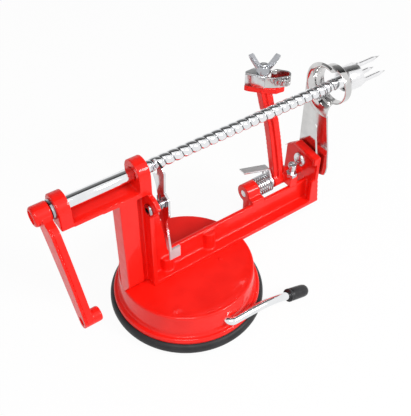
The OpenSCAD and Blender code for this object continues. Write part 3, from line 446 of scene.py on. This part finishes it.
def thumbed(name):
    """The release lever's plate: bright above 80 mm, dulled by thumbs below 70 mm."""
    finish = metal(name, (0.64, 0.64, 0.66), (0.78, 0.78, 0.80), None, 0.002, 0.8)
    nodes, link = finish.node_tree.nodes, finish.node_tree.links.new
    level = nodes.new("ShaderNodeSeparateXYZ")
    link(nodes["Texture Coordinate"].outputs["Object"], level.inputs["Vector"])
    link(spread(nodes, link, level.outputs["Z"], 0.55, 0.13, 70 * MM, 80 * MM),
         nodes["Principled BSDF"].inputs["Roughness"])
    return finish


RED = enamel("red_enamel", (0.80, 0.008, 0.004), (0.88, 0.013, 0.007))
CHROME = metal("bright_chrome", *CHROME_TINTS, CHROME_ROUGH, CHROME_RELIEF, CHROME_GRAIN)
ZINC = metal("zinc_plating", (0.62, 0.63, 0.65), (0.76, 0.77, 0.78), (0.2, 0.34), 0.004, 1.0)
PRESSED = metal("pressed_plate", (0.58, 0.59, 0.60), (0.74, 0.75, 0.76), (0.10, 0.2), 0.002,
                0.8, (1, 1, 0.15))
BLADE = metal("blade_polish", (0.56, 0.555, 0.55), (0.68, 0.675, 0.67), (0.08, 0.16), 0.0012,
              0.7, (1, 1, 0.12))
CAST = metal("plated_casting", (0.80, 0.80, 0.81), (0.88, 0.88, 0.89), (0.15, 0.22), 0.003,
             1.4)
SATIN = metal("satin_plate", (0.84, 0.84, 0.85), (0.91, 0.91, 0.92), (0.34, 0.44), 0.003, 1.0)
DULL = metal("dull_zinc", (0.36, 0.37, 0.39), (0.52, 0.53, 0.56), (0.12, 0.24), 0.003, 1.0)
WIRE = metal("drawn_wire", (0.40, 0.41, 0.43), (0.54, 0.55, 0.57), (0.12, 0.22), 0.002, 0.5)
RUBBER = moulding("cup_rubber", (0.012, 0.012, 0.013), (0.022, 0.022, 0.024), (0.42, 0.54),
                  0.01, 0.8)
GRIP = moulding("tip_plastic", (0.016, 0.016, 0.018), (0.028, 0.028, 0.030), (0.28, 0.4),
                0.008, 0.6)
SCREW = groove_shaded("shaft_chrome")
LEVER = thumbed("lever_plate")
FINISH = {"red_paint": RED, "chrome": CHROME, "zinc_steel": ZINC, "pressed_steel": PRESSED,
          "blade_steel": BLADE, "spring_wire": WIRE, "black_rubber": RUBBER,
          "black_plastic": GRIP}
OWN_FINISH = {"fork": CAST, "release_lever": LEVER, "arm_latch": SATIN, "thrust_washer": DULL}


def finish_of(node):
    """The node's own finish, or the one of its material slot."""
    return OWN_FINISH.get(node, FINISH[SLOT_OF[node]])


for node in SLOT_OF:
    cad_mesh = frame["nodes"][node].data
    cad_mesh.materials.clear()
    cad_mesh.materials.append(finish_of(node))

# ---------------------------------------------------------------- castings

moulded("frame", "frame_casting", "stand", RED, 0.56, 2)
moulded("peel_arm", "peeling_arm_casting", "peeler", RED, 0.4, 3)

# ---------------------------------------------------------------- drive shaft

PITCH = 6.1                                # of the groove, in mm a turn
GROOVE_FLOOR = 1.7                         # its width at the bottom
THREAD_BACK, THREAD_FRONT = -28, 118       # its ends
TOOTH_X = -18.6                            # middle of the release lever's tooth
GROOVE_SHADE_R = 3.3                             # painted shade lies in the groove below this radius

# One pitch of the thread: up one flank, over a land that bulges a little and down again
groove = [(0.0, 3.2), (0.16, 3.36), (0.34, 3.52), (0.6, 3.66), (1.0, 3.79), (1.6, 3.89),
          (2.5, 3.96), (3.4, 3.92), (4.2, 3.82), (4.8, 3.68), (5.15, 3.54), (5.4, 3.38),
          (5.6, 3.22), (5.85, 3.17)]


def drive_shaft():
    """The shaft: turned journals with eased ends, and one groove carried round between them
    as a helix, turned so that the lever's tooth sits in it."""
    middle = (0, SHAFT_Y, SHAFT_Z)
    back = [(-91, 0), (-91, 3.5), (-90.5, 4), (-28, 4), (-27.6, 3.7), (-27.6, 0)]
    front = [(117.6, 0), (117.6, 3.7), (118, 4), (136.8, 4), (136.8, 0)]
    tooth_side = 90 + math.degrees(math.atan2(SHAFT_Z - RIVET_Z, SHAFT_Y - RIVET_Y))
    from_start = TOOTH_X - (THREAD_BACK - PITCH) + GROOVE_FLOOR / 2
    turn = math.radians(tooth_side - 360 * from_start / PITCH)
    thread = helical(middle, THREAD_BACK, THREAD_FRONT, PITCH, groove, turn, 40)
    return [turned(back, middle, "x", 48), turned(front, middle, "x", 48), thread]


shaft_piece = keep("grooved_shaft", drive_shaft(), "spindle", SCREW, "drive_shaft",
                   50)
spots = np.zeros(len(shaft_piece.data.vertices) * 3)
shaft_piece.data.vertices.foreach_get("co", spots)
spots = spots.reshape(-1, 3) / MM
in_groove = ((np.hypot(spots[:, 1] - SHAFT_Y, spots[:, 2] - SHAFT_Z) < GROOVE_SHADE_R)
             & (spots[:, 0] > THREAD_BACK + 1) & (spots[:, 0] < THREAD_FRONT - 1))
# painted shade: points in the thread's groove are marked for the dark colour
groove_shade = shaft_piece.data.attributes.new("groove_depth", "FLOAT", "POINT")
groove_shade.data.foreach_set("value", in_groove.astype(np.float32))

# ---------------------------------------------------------------- suction base

COVER_TOP, COVER_R, COVER_EDGE = 30, 45, 1.5     # the deck, the wall there, and their round
WALL_DRAFT = 13.5                                # mm down for each mm that the wall spreads
WALL_FOOT, WALL_HEAD = 14, 28.7                  # only between these is the wall pressed out
SWELL_ANGLE, SWELL_REACH, SWELL_HEIGHT = math.radians(283), 0.15, 1.7
SWELL_FROM, SWELL_FADE_IN = 20.5, 2.5            # its lower end, and its fade up from there
SWELL_TO, SWELL_FADE_OUT = 28.6, 5               # its upper end, and its fade down from there
BOSS_ANGLE, BOSS_NARROW, BOSS_TALL, BOSS_HEIGHT = math.radians(270), 9, 4.2, 0.7


def swelling(z, t):
    """How far the cover's wall is pressed out at level z and angle t: a bell of the angle
    that fades above and below, and a low round boss about the lever's axle."""
    level = (np.clip((z - SWELL_FROM) / SWELL_FADE_IN, 0, 1)
             * np.clip((SWELL_TO - z) / SWELL_FADE_OUT, 0, 1))
    swell = SWELL_HEIGHT * np.exp(-((t - SWELL_ANGLE) / SWELL_REACH) ** 2)
    boss = BOSS_HEIGHT * np.exp(-((t - BOSS_ANGLE) * BOSS_NARROW) ** 2
                                - ((z - AXLE_Z) / BOSS_TALL) ** 2)
    return np.where((z > WALL_FOOT) & (z < WALL_HEAD), swell * level + boss, 0)


def base_shell():
    """The cover: a turned shell with a drafted wall and a stepped foot, and a small pip cast
    on its deck."""
    edge_z, edge_r = COVER_TOP - COVER_EDGE, COVER_R - COVER_EDGE
    edge = [(edge_z + COVER_EDGE * math.sin(a), edge_r + COVER_EDGE * math.cos(a))
            for a in np.radians(np.linspace(90, 0, 7))]
    wall = [(z, COVER_R + (edge_z - z) / WALL_DRAFT) for z in np.linspace(27.6, 15, 16)]
    foot = [(14.2, 46.15), (13.5, 46.4), (13.05, 46.8), (12.85, 47.4), (12.8, 48.1),
            (12.6, 48.7), (12.1, 49.15), (11.4, 49.4), (10.6, 49.5), (9.45, 49.5), (9.25, 49.3)]
    inside = [(9.25, 43.8), (15.3, 43.8), (27.8, 42.8), (27.8, 0)]
    deck = [(COVER_TOP, r) for r in (0, 20, 36)]
    pip = [(29.5, 1.6), (30.3, 1.5), (30.62, 0.9), (30.7, 0)]
    return [turned(deck + edge + wall + foot + inside, (0, 0, 0), "z", 256, swelling),
            turned(pip, (21, -9.4, 0), "z", 20)]


keep("base_shell", base_shell(), "stand", RED, "base_cover", 50)

rim = rounded([(0, 38.3), (0, 47.4), (0.5, 49.0), (1.5, 50.7), (2.8, 51.8), (4.4, 52.25),
               (6.2, 52.1), (7.6, 51.6), (8.6, 50.8), (9.2, 49.6), (9.2, 38.3)], 0.5, 4)
keep("cup_rubber_rim", [turned(rim, (0, 0, 0), "z", 192, joined=True)], "stand", RUBBER,
     "cup_rim", 60)

disc = [(1.5, 0), (1.5, 8), (1.75, 8.4), (1.75, 9.6), (1.5, 10), (1.5, 20), (1.8, 20.5),
        (1.8, 22), (1.5, 22.5), (1.5, 37.7), (1.8, 38), (3.2, 38), (5, 9), (5, 5.1), (3.3, 5.1),
        (3.3, 0)]
keep("cup_rubber_middle", [turned(disc, (0, 0, 0), "z", 128)], "stem", RUBBER,
     "cup_membrane", 30)

# ---------------------------------------------------------------- suction lever

ROD_R, ROD_BEND = 2.75, 3.45
AXLE_IN, AXLE_OUT = -3.6, -46.0          # Y of the axle's inner end and of the bend
ARM_Y = AXLE_OUT - ROD_BEND
ARM_FALL = 0.04                          # slope of the rod as it leaves the bend
SLEEVE_X, SLEEVE_Z = 47.9, 12.6


def lock_lever():
    """The suction lever: a rod along its axle, round a quarter bend and out along a gentle
    curve, with the eccentric pin at its inner end."""
    q = np.linspace(0, np.pi / 2, 14)[1:-1]
    x = ROD_BEND - ROD_BEND * np.cos(q)
    bend = np.stack([x, AXLE_OUT - ROD_BEND * np.sin(q), AXLE_Z - ARM_FALL * x], -1)
    axle = np.stack([np.zeros(8), np.linspace(AXLE_IN, AXLE_OUT, 8), np.full(8, AXLE_Z)], -1)
    arm = smooth_path([(x, ARM_Y, z) for x, z in (
        (3.45, 19.85), (17, 19.3), (29, 18.3), (39, 15.9), (47, 12.9), (58, 9.2))], 44)
    pin = turned([(-6, 0), (-6, 1.1), (3, 1.1), (3, 0)], (0.3, 0, 18.6), "y", 20)
    return [swept(np.concatenate([axle, bend, arm]), ROD_R, 24, up=(0, 0.01, 1)), pin]


keep("lock_lever_rod", lock_lever(), "lock", CHROME, "suction_lever", 50)

sleeve_run = np.array([11.6, 0, -3.9]) / math.hypot(11.6, 3.9)
# The sleeve: distances along it, and its radius at each
stations = np.array([0, 0.2, 0.5, 1.6, 1.8, 2.0, 2.3, 4, 12, 14.5, 16, 17, 17.7, 18.1, 18.2])
girth = np.array([2.8, 4.3, 4.5, 4.5, 4.3, 4.15, 4.3, 4.4, 4.3, 4.2, 3.8, 3.1, 2.2, 1.0, 0.0])
sleeve = np.array([SLEEVE_X, ARM_Y, SLEEVE_Z]) + stations[:, None] * sleeve_run
keep("lever_sleeve", [swept(sleeve, girth, 32, up=(0, 1, 0))], "lock", GRIP,
     "lever_tip", 45)

# ---------------------------------------------------------------- crank

CRANK_LEAN = math.radians(35.4)
CRANK_LONG = 63                # from the shaft to the handle's hole
CREASE = 1.1                   # depth of the groove along the front edge


def along_crank(u, v):
    """From the crank's own plane (down the arm, and out in front of it) to Y and Z."""
    u, v = np.asarray(u, float), np.asarray(v, float)
    return (SHAFT_Y - u * math.sin(CRANK_LEAN) - v * math.cos(CRANK_LEAN),
            SHAFT_Z - u * math.cos(CRANK_LEAN) + v * math.sin(CRANK_LEAN))


HOLE_Y, HOLE_Z = along_crank(CRANK_LONG, 0)


def crank():
    """The crank: a boss, an arm whose front edge swells out below the boss and then tapers,
    and a boss for the handle. The arm is a lip, a core and a back, and the core's front edge
    is pulled in, so that a groove runs along it."""
    corners = [(-2, 4.6), (3.5, 6.0), (10, 10.9), (28, 9.9), (45, 8.2), (58, 6.5), (66, 4.6),
               (68, -1.5), (66.5, -4.9), (60, -5.0), (30, -4.2), (10, -4.6), (0, -5.2)]
    line = rounded(corners, [1, 4, 5, 9, 9, 6, 3, 3, 3, 3, 9, 6, 2], 7)
    full = np.stack(along_crank(line[:, 0], line[:, 1]), -1)
    in_front = (line[:, 1] > 0) & (line[:, 0] > 9)
    pulled = np.stack(along_crank(line[:, 0], line[:, 1] - CREASE * in_front), -1)
    lip = plate(full, -89.1, 0.85, "x", 0.25, 3)
    core = plate(pulled, -88.6, 1.4, "x", 0.2, 3)
    back = plate(full, -87.5, 3.8, "x", 0.3, 3)
    knob = turned([(-88.2, 0), (-88.2, 4.3), (-79.2, 4.3), (-78.5, 4.1), (-78.1, 3.7),
                   (-78, 3.4), (-78, 0)], (0, HOLE_Y, HOLE_Z), "x", 48)
    boss = turned([(-92.5, 0), (-92.5, 4.4), (-92.3, 5.1), (-91.7, 5.7), (-90.9, 5.95),
                   (-83.2, 5.95), (-82.7, 5.7), (-82.5, 5.3), (-82.5, 0)],
                  (0, SHAFT_Y, SHAFT_Z), "x", 64)
    return [lip, core, back, knob, boss]


crank_piece = keep("crank_casting", crank(), "spindle", RED, "crank_arm", 60)
cast_skin(crank_piece, 0.33, 2)
drilled(crank_piece, [
    turned([(-94, 0), (-94, 4.05), (-82, 4.05), (-82, 0)], (0, SHAFT_Y, SHAFT_Z), "x", 48),
    turned([(-92, 0), (-92, 2.8), (-77, 2.8), (-77, 0)], (0, HOLE_Y, HOLE_Z), "x", 40)])

# ---------------------------------------------------------------- coils

keep("arm_coil", [coil((67.6, PIVOT_Y, PIVOT_Z), r=6.25, pitch=11.2 / 6.25, turns=6.25,
                       start=-90, leg_in=7.2, leg_out=6, wire=1.05)],
     "stand", WIRE, "arm_spring", 60)
keep("lever_coil", [coil((-23.4, RIVET_Y, RIVET_Z), r=2.9, pitch=1.1, turns=3, start=0,
                         leg_in=5, leg_out=5, wire=0.7)],
     "stand", WIRE, "lever_spring", 60)

# ---------------------------------------------------------------- fasteners

NUT_FOOT = 136.3               # Z of the wing nut's lower face
NUT_TURN = math.radians(-35)   # its ears' turn about Z
EAR_HALF, EAR_HALF_THICK = 1.95, 0.85
EAR_FROM, EAR_REACH = 1.8, 6.7           # out from the hub's middle
EAR_FOOT, EAR_RISE = 2.6, 10.0           # up from the hub's lower face


def winged():
    """The wing nut: a turned hub, and on each side an ear carried out along a rising curve,
    a little smaller at its end. The ear's section is a rectangle with rounded corners."""
    hub = turned([(NUT_FOOT + z, r) for z, r in (
        (0, 0), (0, 4.5), (0.4, 4.7), (1.2, 4.6), (4.2, 3.7), (4.9, 3.2), (4.9, 0))],
        (STUD_X, STUD_Y, 0), "z", 40)
    a = np.arange(20) / 20 * TURN
    c, s = np.cos(a), np.sin(a)
    ear = np.stack([EAR_HALF * np.sign(c) * np.abs(c) ** 0.4,
                    EAR_HALF_THICK * np.sign(s) * np.abs(s) ** 0.5], -1)
    girth = np.concatenate([[1.0], np.linspace(1.0, 0.95, 10), [0.8]])
    q = np.linspace(0, 1, len(girth))[:, None]
    lift = NUT_FOOT + EAR_FOOT + EAR_RISE * q ** 1.2
    parts = [hub]
    for way in (-1, 1):
        reach = way * (EAR_FROM + EAR_REACH * q ** 0.9)
        path = np.concatenate([STUD_X + reach * math.cos(NUT_TURN),
                               STUD_Y + reach * math.sin(NUT_TURN), lift], 1)
        across = (-math.sin(NUT_TURN), math.cos(NUT_TURN), 0.0)
        parts.append(swept(path, girth, section=ear, up=across))
    return parts


stud = [(123.05, 0), (123.05, 2.0), (141.3, 2.0), (141.8, 1.6), (142.0, 0)]
keep("band_stud", [turned(stud, (STUD_X, STUD_Y, 0), "z", 32)], "peeler", ZINC,
     "clamp_stud", 40)
keep("winged_nut", winged(), "wing", DULL, "wing_nut", 40)

rivet = [(-29.2, 1.9), (-29.3, 2.3), (-29.2, 3.2), (-28.8, 3.8), (-28.0, 4.0), (-28.0, 2.35),
         (-17.6, 2.35), (-17.6, 3.4), (-16.9, 3.4), (-16.8, 1.9)]
keep("hollow_rivet", [turned(rivet, (0, RIVET_Y, RIVET_Z), "x", 48, joined=True)], "stand",
     DULL, "lever_rivet", 40)


def box_outline(half_y, half_z):
    """Corners of a rectangle about the blade's bolt."""
    return [(BOLT_Y + y * half_y, BOLT_Z + z * half_z)
            for y, z in ((-1, -1), (1, -1), (1, 1), (-1, 1))]


# The blade's bolt: a domed head with a cross cut in it, and a plain shank
bolt = [(102.75, 0), (102.8, 1.5), (103.1, 3.0), (103.7, 4.2), (104.6, 5.1), (105.3, 5.35),
        (105.9, 5.35), (106.0, 5.2), (106.0, 2.2), (118.3, 2.2), (118.6, 1.9), (118.6, 0)]
bolt_piece = keep("cross_bolt", [turned(bolt, (0, BOLT_Y, BOLT_Z), "x", 48)], "stand", ZINC,
                  "blade_bolt", 40)
drilled(bolt_piece, [plate(rounded(box_outline(*half), 0.3, 3), 102, 1.5, "x", 0.2)
                     for half in ((2.7, 0.5), (0.5, 2.7))])


CLAMP_Z, CLAMP_THICK = 134.6, 1.5
FLANGE_Z, FLANGE_TALL, FLANGE_LONG, FLANGE_THICK = 127.1, 8.4, 12.9, 0.95
FLANGE_INTO = 0.1                        # how far it reaches into the plate


def band_clamp():
    """The clamp: a flat plate over the band and a flange turned down before its front."""
    top = rounded([(68.2, 32.6), (69.4, 33.9), (76.9, 34.0), (85.2, 28.9), (83.4, 26.2),
                   (77.0, 21.6), (75.7, 21.9)], 0.6, 4)
    run = np.array([8.0, -10.4]) / math.hypot(8.0, 10.4)
    out = np.array([run[1], -run[0]])
    start = np.array([68.2, 32.4]) - FLANGE_INTO * out
    end = start + FLANGE_LONG * run
    flange = rounded([start, end, end + FLANGE_THICK * out, start + FLANGE_THICK * out], 0.25, 3)
    return [plate(top[::-1], CLAMP_Z, CLAMP_THICK, "z", 0.3),
            plate(flange, FLANGE_Z, FLANGE_TALL, "z", 0.2)]


keep("band_clamp", band_clamp(), "peeler", PRESSED, "clamp_plate", 50)

# ---------------------------------------------------------------- slicing and coring blade

SLIT_HEAD, SLIT_FOOT = (6.2, 92.3), (0.7, 66.2)
SLIT_HALF, SLIT_BULB = 0.75, 1.4         # half its width at the foot, and its head's radius
RING_IN, RING_OUT = 12.1, 13.3
RING_BACK, RING_FRONT = 116.9, 121.9
FLARE_IN, FLARE_LONG, FLARE_SHEET = 12.2, 7.4, 1.05
FLARE_R, FLARE_GROWS = 16.1, 4.0         # radius where it leaves the plate, and its growth
GROWS_AT, GROWS_OVER = 10, 70            # degrees below the level, from and over
FLARE_INTO = 0.25                        # how far it reaches into the plate's edge
PLATE_BACK, PLATE_THICK = 110, 1.2
FOOT_REACH = 73.6                        # from the shaft, the unit of the foot's outline
BEND_RUN, BEND_SLOPE = (5.5, 26.1), 0.09


def flare_start(a):
    """Radius at which the flare leaves the plate: it grows smoothly below the ring."""
    s = np.clip((-np.degrees(a) - GROWS_AT) / GROWS_OVER, 0, 1)
    return FLARE_R + FLARE_GROWS * s * s * (3 - 2 * s)


def blade_outline():
    """Outline of the slicing blade's plate, which ends in an arc where the flare begins."""
    a = np.radians(np.linspace(-8, -106, 26))[:, None]
    arc = flare_start(a) * np.concatenate([np.cos(a), np.sin(a)], 1)
    foot = FOOT_REACH * np.array([
        (-0.147, -0.61), (-0.172, -0.8), (-0.168, -0.86), (-0.155, -0.9), (-0.13, -0.912),
        (0.14, -0.998), (0.17, -0.99), (0.21, -0.95), (0.215, -0.92), (0.215, -0.28),
        (0.221, -0.06)])
    return np.concatenate([foot, arc]) + (SHAFT_Y, SHAFT_Z)


def slit_outline():
    """The long slit of the slicing blade, from a round head to a point below."""
    head, foot = np.array(SLIT_HEAD), np.array(SLIT_FOOT)
    run = (foot - head) / np.linalg.norm(foot - head)
    side = np.array([-run[1], run[0]])
    a = np.radians(np.linspace(32, 328, 14))[:, None]
    bulb = head + SLIT_BULB * (np.cos(a) * run + np.sin(a) * side)
    return np.concatenate([bulb, [foot - SLIT_HALF * side, foot + 0.5 * run,
                                  foot + SLIT_HALF * side]])


def bent(piece, spot, run, slope):
    """Bends a flat plate along a line through spot: past it, X grows by slope times the way
    from the line."""
    run = np.array(run, float) / math.hypot(*run)
    away = np.array([-run[1], run[0]])
    bm = bmesh.new()
    bm.from_mesh(piece.data)
    bmesh.ops.bisect_plane(bm, geom=bm.verts[:] + bm.edges[:] + bm.faces[:], dist=SAME_POINT,
                           plane_co=(0, spot[0] * MM, spot[1] * MM), plane_no=(0, *away))
    place = np.array([v.co[:] for v in bm.verts])
    past = np.maximum((place[:, 1:] - np.array(spot) * MM) @ away, 0)
    for v, d in zip(bm.verts, past.tolist()):
        v.co.x += slope * d
    bm.to_mesh(piece.data)
    bm.free()
    piece.data.set_sharp_from_angle(angle=math.radians(3))


def coring_ring():
    """The coring ring, and the flare that joins it to the plate over the left and top. The
    flare is a quarter ellipse: it leaves the plate in its plane and ends along the shaft."""
    edge = rounded([(RING_BACK, RING_IN), (RING_FRONT, RING_IN), (RING_FRONT, RING_OUT),
                    (RING_BACK, RING_OUT)], 0.35, 4)
    ring = turned(edge, (0, SHAFT_Y, SHAFT_Z), "x", 128, joined=True)
    a = np.radians(np.linspace(-107, 104, 84))[:, None]
    q = np.linspace(0, np.pi / 2, 16)[None, :]
    wide = flare_start(a) - FLARE_IN
    sides = []
    for inset in (0.0, FLARE_SHEET):
        x = PLATE_BACK + 0.05 + inset + (FLARE_LONG - inset) * (1 - np.cos(q))
        r = FLARE_IN + inset + (wide + FLARE_INTO) * (1 - np.sin(q))
        sides.append(np.stack(np.broadcast_arrays(x, r), -1))
    strip = np.concatenate([sides[0], sides[1][:, ::-1]], 1)
    flare = about("x", strip[..., 0], strip[..., 1] * np.cos(a), strip[..., 1] * np.sin(a))
    return [ring, skin(flare + (0, SHAFT_Y, SHAFT_Z))]


plate_piece = keep("slicing_plate",
                   [plate(blade_outline(), PLATE_BACK, PLATE_THICK, "x", 0.2, 3)],
                   "slicer", BLADE, "slicing_blade", 30)
drilled(plate_piece, [
    plate(slit_outline(), PLATE_BACK - 2, 5, "x", 0.1),
    plate(rounded(box_outline(2.3, 4.8), 2.0, 6), PLATE_BACK - 2, 5, "x", 0.1)])
bent(plate_piece, SLIT_HEAD, BEND_RUN, BEND_SLOPE)
keep("coring_ring", coring_ring(), "slicer", BLADE, "slicing_blade", 40)

# ---------------------------------------------------------------- CAD forms with eased edges

for node, name, width in (("fork", "fork_prongs", 0.25), ("release_lever", "half_nut_lever", 0.22),
                          ("peel_blade", "peeling_band", 0.15), ("arm_latch", "finger_latch", 0.2),
                          ("blade_nut", "hex_nut", 0.2), ("stop_screw", "slotted_stop", 0.2),
                          ("stop_nut", "lock_nut", 0.2)):
    eased(node, name, frame["nodes"][node]["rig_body"], finish_of(node), width)

# ---------------------------------------------------------------- studio

def seen_rays(nodes, link):
    """1 for the rays of the camera, off gloss and through glass, and 0 for all others."""
    path = nodes.new("ShaderNodeLightPath")
    seen = path.outputs["Is Camera Ray"]
    for kind in ("Is Glossy Ray", "Is Transmission Ray"):
        either = nodes.new("ShaderNodeMath")
        either.operation = "MAXIMUM"
        link(seen, either.inputs[0])
        link(path.outputs[kind], either.inputs[1])
        seen = either.outputs[0]
    return seen


def facing(at, aim):
    """The matrix that puts a thing at a point, with its Z axis pointing away from aim."""
    back = (Vector(at) - Vector(aim)).normalized()
    return Matrix.Translation(at) @ back.to_track_quat("Z", "Y").to_matrix().to_4x4()


def lamp(name, at, aim, size, watts):
    """A square soft lamp that faces the point aim."""
    light = bpy.data.lights.new(name, "AREA")
    light.shape, light.size, light.energy = "SQUARE", size, watts
    placed(name, light).matrix_world = facing(at, aim)


def mirror_card(name, at, aim, width, height, below, above):
    """A card behind and over the object that only metal and gloss see: its grey goes from
    below at its lower edge to above at its upper edge."""
    w, h = width / 2, height / 2
    place = facing(at, aim)
    corners = [place @ Vector(c) for c in ((-w, -h, 0), (w, -h, 0), (w, h, 0), (-w, h, 0))]
    levels = [c.z for c in corners]
    mesh = bpy.data.meshes.new(name)
    mesh.from_pydata(corners, [], [(0, 1, 2, 3)])
    card = placed(name, mesh)
    finish, nodes, link, _, spot = start_finish(name + "_felt")
    level = nodes.new("ShaderNodeSeparateXYZ")
    link(spot, level.inputs["Vector"])
    grey = spread(nodes, link, level.outputs["Z"], below, above, min(levels), max(levels))
    glow = nodes.new("ShaderNodeEmission")
    link(grey, glow.inputs["Color"])
    link(glow.outputs["Emission"], nodes["Material Output"].inputs["Surface"])
    mesh.materials.append(finish)
    card.visible_camera = card.visible_diffuse = card.visible_shadow = False


def white_table(half, glow_share):
    """A pale floor: glow_share of what is seen of it is plain white, and the rest is paper
    that takes light and shadow."""
    mesh = bpy.data.meshes.new("table_top")
    mesh.from_pydata([(-half, -half, 0), (half, -half, 0), (half, half, 0), (-half, half, 0)],
                     [], [(0, 1, 2, 3)])
    paper, nodes, link, shader, place = start_finish("white_paper")
    grain = speckle(nodes, link, place, size=80)
    link(tint(nodes, link, grain, (0.86, 0.86, 0.86), (0.88, 0.88, 0.88)),
         shader.inputs["Base Color"])
    shader.inputs["Roughness"].default_value = 0.9
    shader.inputs["Specular IOR Level"].default_value = 0.1
    glow = nodes.new("ShaderNodeEmission")
    share = nodes.new("ShaderNodeMath")
    share.operation = "MULTIPLY"
    share.inputs[1].default_value = glow_share
    blend = nodes.new("ShaderNodeMixShader")
    link(seen_rays(nodes, link), share.inputs[0])
    link(share.outputs[0], blend.inputs["Fac"])
    link(shader.outputs["BSDF"], blend.inputs[1])
    link(glow.outputs["Emission"], blend.inputs[2])
    link(blend.outputs["Shader"], nodes["Material Output"].inputs["Surface"])
    mesh.materials.append(paper)
    placed("table_top", mesh)


def white_world(fill_strength):
    """A world that looks white, and that lights the object only at fill_strength."""
    world = bpy.data.worlds.new("studio")
    bpy.context.scene.world = world
    world.use_nodes = True
    nodes, link = world.node_tree.nodes, world.node_tree.links.new
    ground, fill = nodes["Background"], nodes.new("ShaderNodeBackground")
    for sheet, strength in ((ground, 1.0), (fill, fill_strength)):
        sheet.inputs["Color"].default_value = (1, 1, 1, 1)
        sheet.inputs["Strength"].default_value = strength
    blend = nodes.new("ShaderNodeMixShader")
    link(seen_rays(nodes, link), blend.inputs["Fac"])
    link(fill.outputs["Background"], blend.inputs[1])
    link(ground.outputs["Background"], blend.inputs[2])
    link(blend.outputs["Shader"], nodes["World Output"].inputs["Surface"])


white_table(6, 0.94)
white_world(0.36)
lamp("key_lamp", (-0.5, -0.7, 1.1), (0, 0, 0.06), 0.5, 8)
lamp("side_lamp", (0.48, -0.80, 0.72), (0, 0, 0.06), 0.3, 8)
mirror_card("overhead_card", (0.05, 0.60, 1.10), (0, 0, 0.12), 3.4, 1.5, 0.42, -0.04)

# ---------------------------------------------------------------- camera, fitted to the photo

PHOTO_W, PHOTO_H, SENSOR = 411, 416, 36
FOCAL, MIDDLE_X, MIDDLE_Y = 696.77, 208.386, 197.914        # in the photo's pixels
CAMERA_AT = (-0.16426, -0.25441, 0.38238)
az, el, roll = math.radians(-35.545), math.radians(43.967), math.radians(0.528)

back = Vector((math.sin(az) * math.cos(el), -math.cos(az) * math.cos(el), math.sin(el)))
level = Vector((math.cos(az), math.sin(az), 0))
upright = back.cross(level)
right = math.cos(roll) * level + math.sin(roll) * upright
up = -math.sin(roll) * level + math.cos(roll) * upright
lens = bpy.data.cameras.new("front_camera")
lens.sensor_fit, lens.sensor_width = "AUTO", SENSOR
lens.lens = FOCAL / PHOTO_H * SENSOR
lens.shift_x = (PHOTO_W / 2 - MIDDLE_X) / PHOTO_H
lens.shift_y = (MIDDLE_Y - PHOTO_H / 2) / PHOTO_H
lens.clip_start, lens.clip_end = 0.01, 40
camera = placed("front_camera", lens)
camera.matrix_world = Matrix([(right[i], up[i], back[i], CAMERA_AT[i]) for i in range(3)]
                             + [(0, 0, 0, 1)])
bpy.context.scene.camera = camera
bpy.context.scene.view_settings.view_transform = "Standard"

bpy.context.view_layer.update()
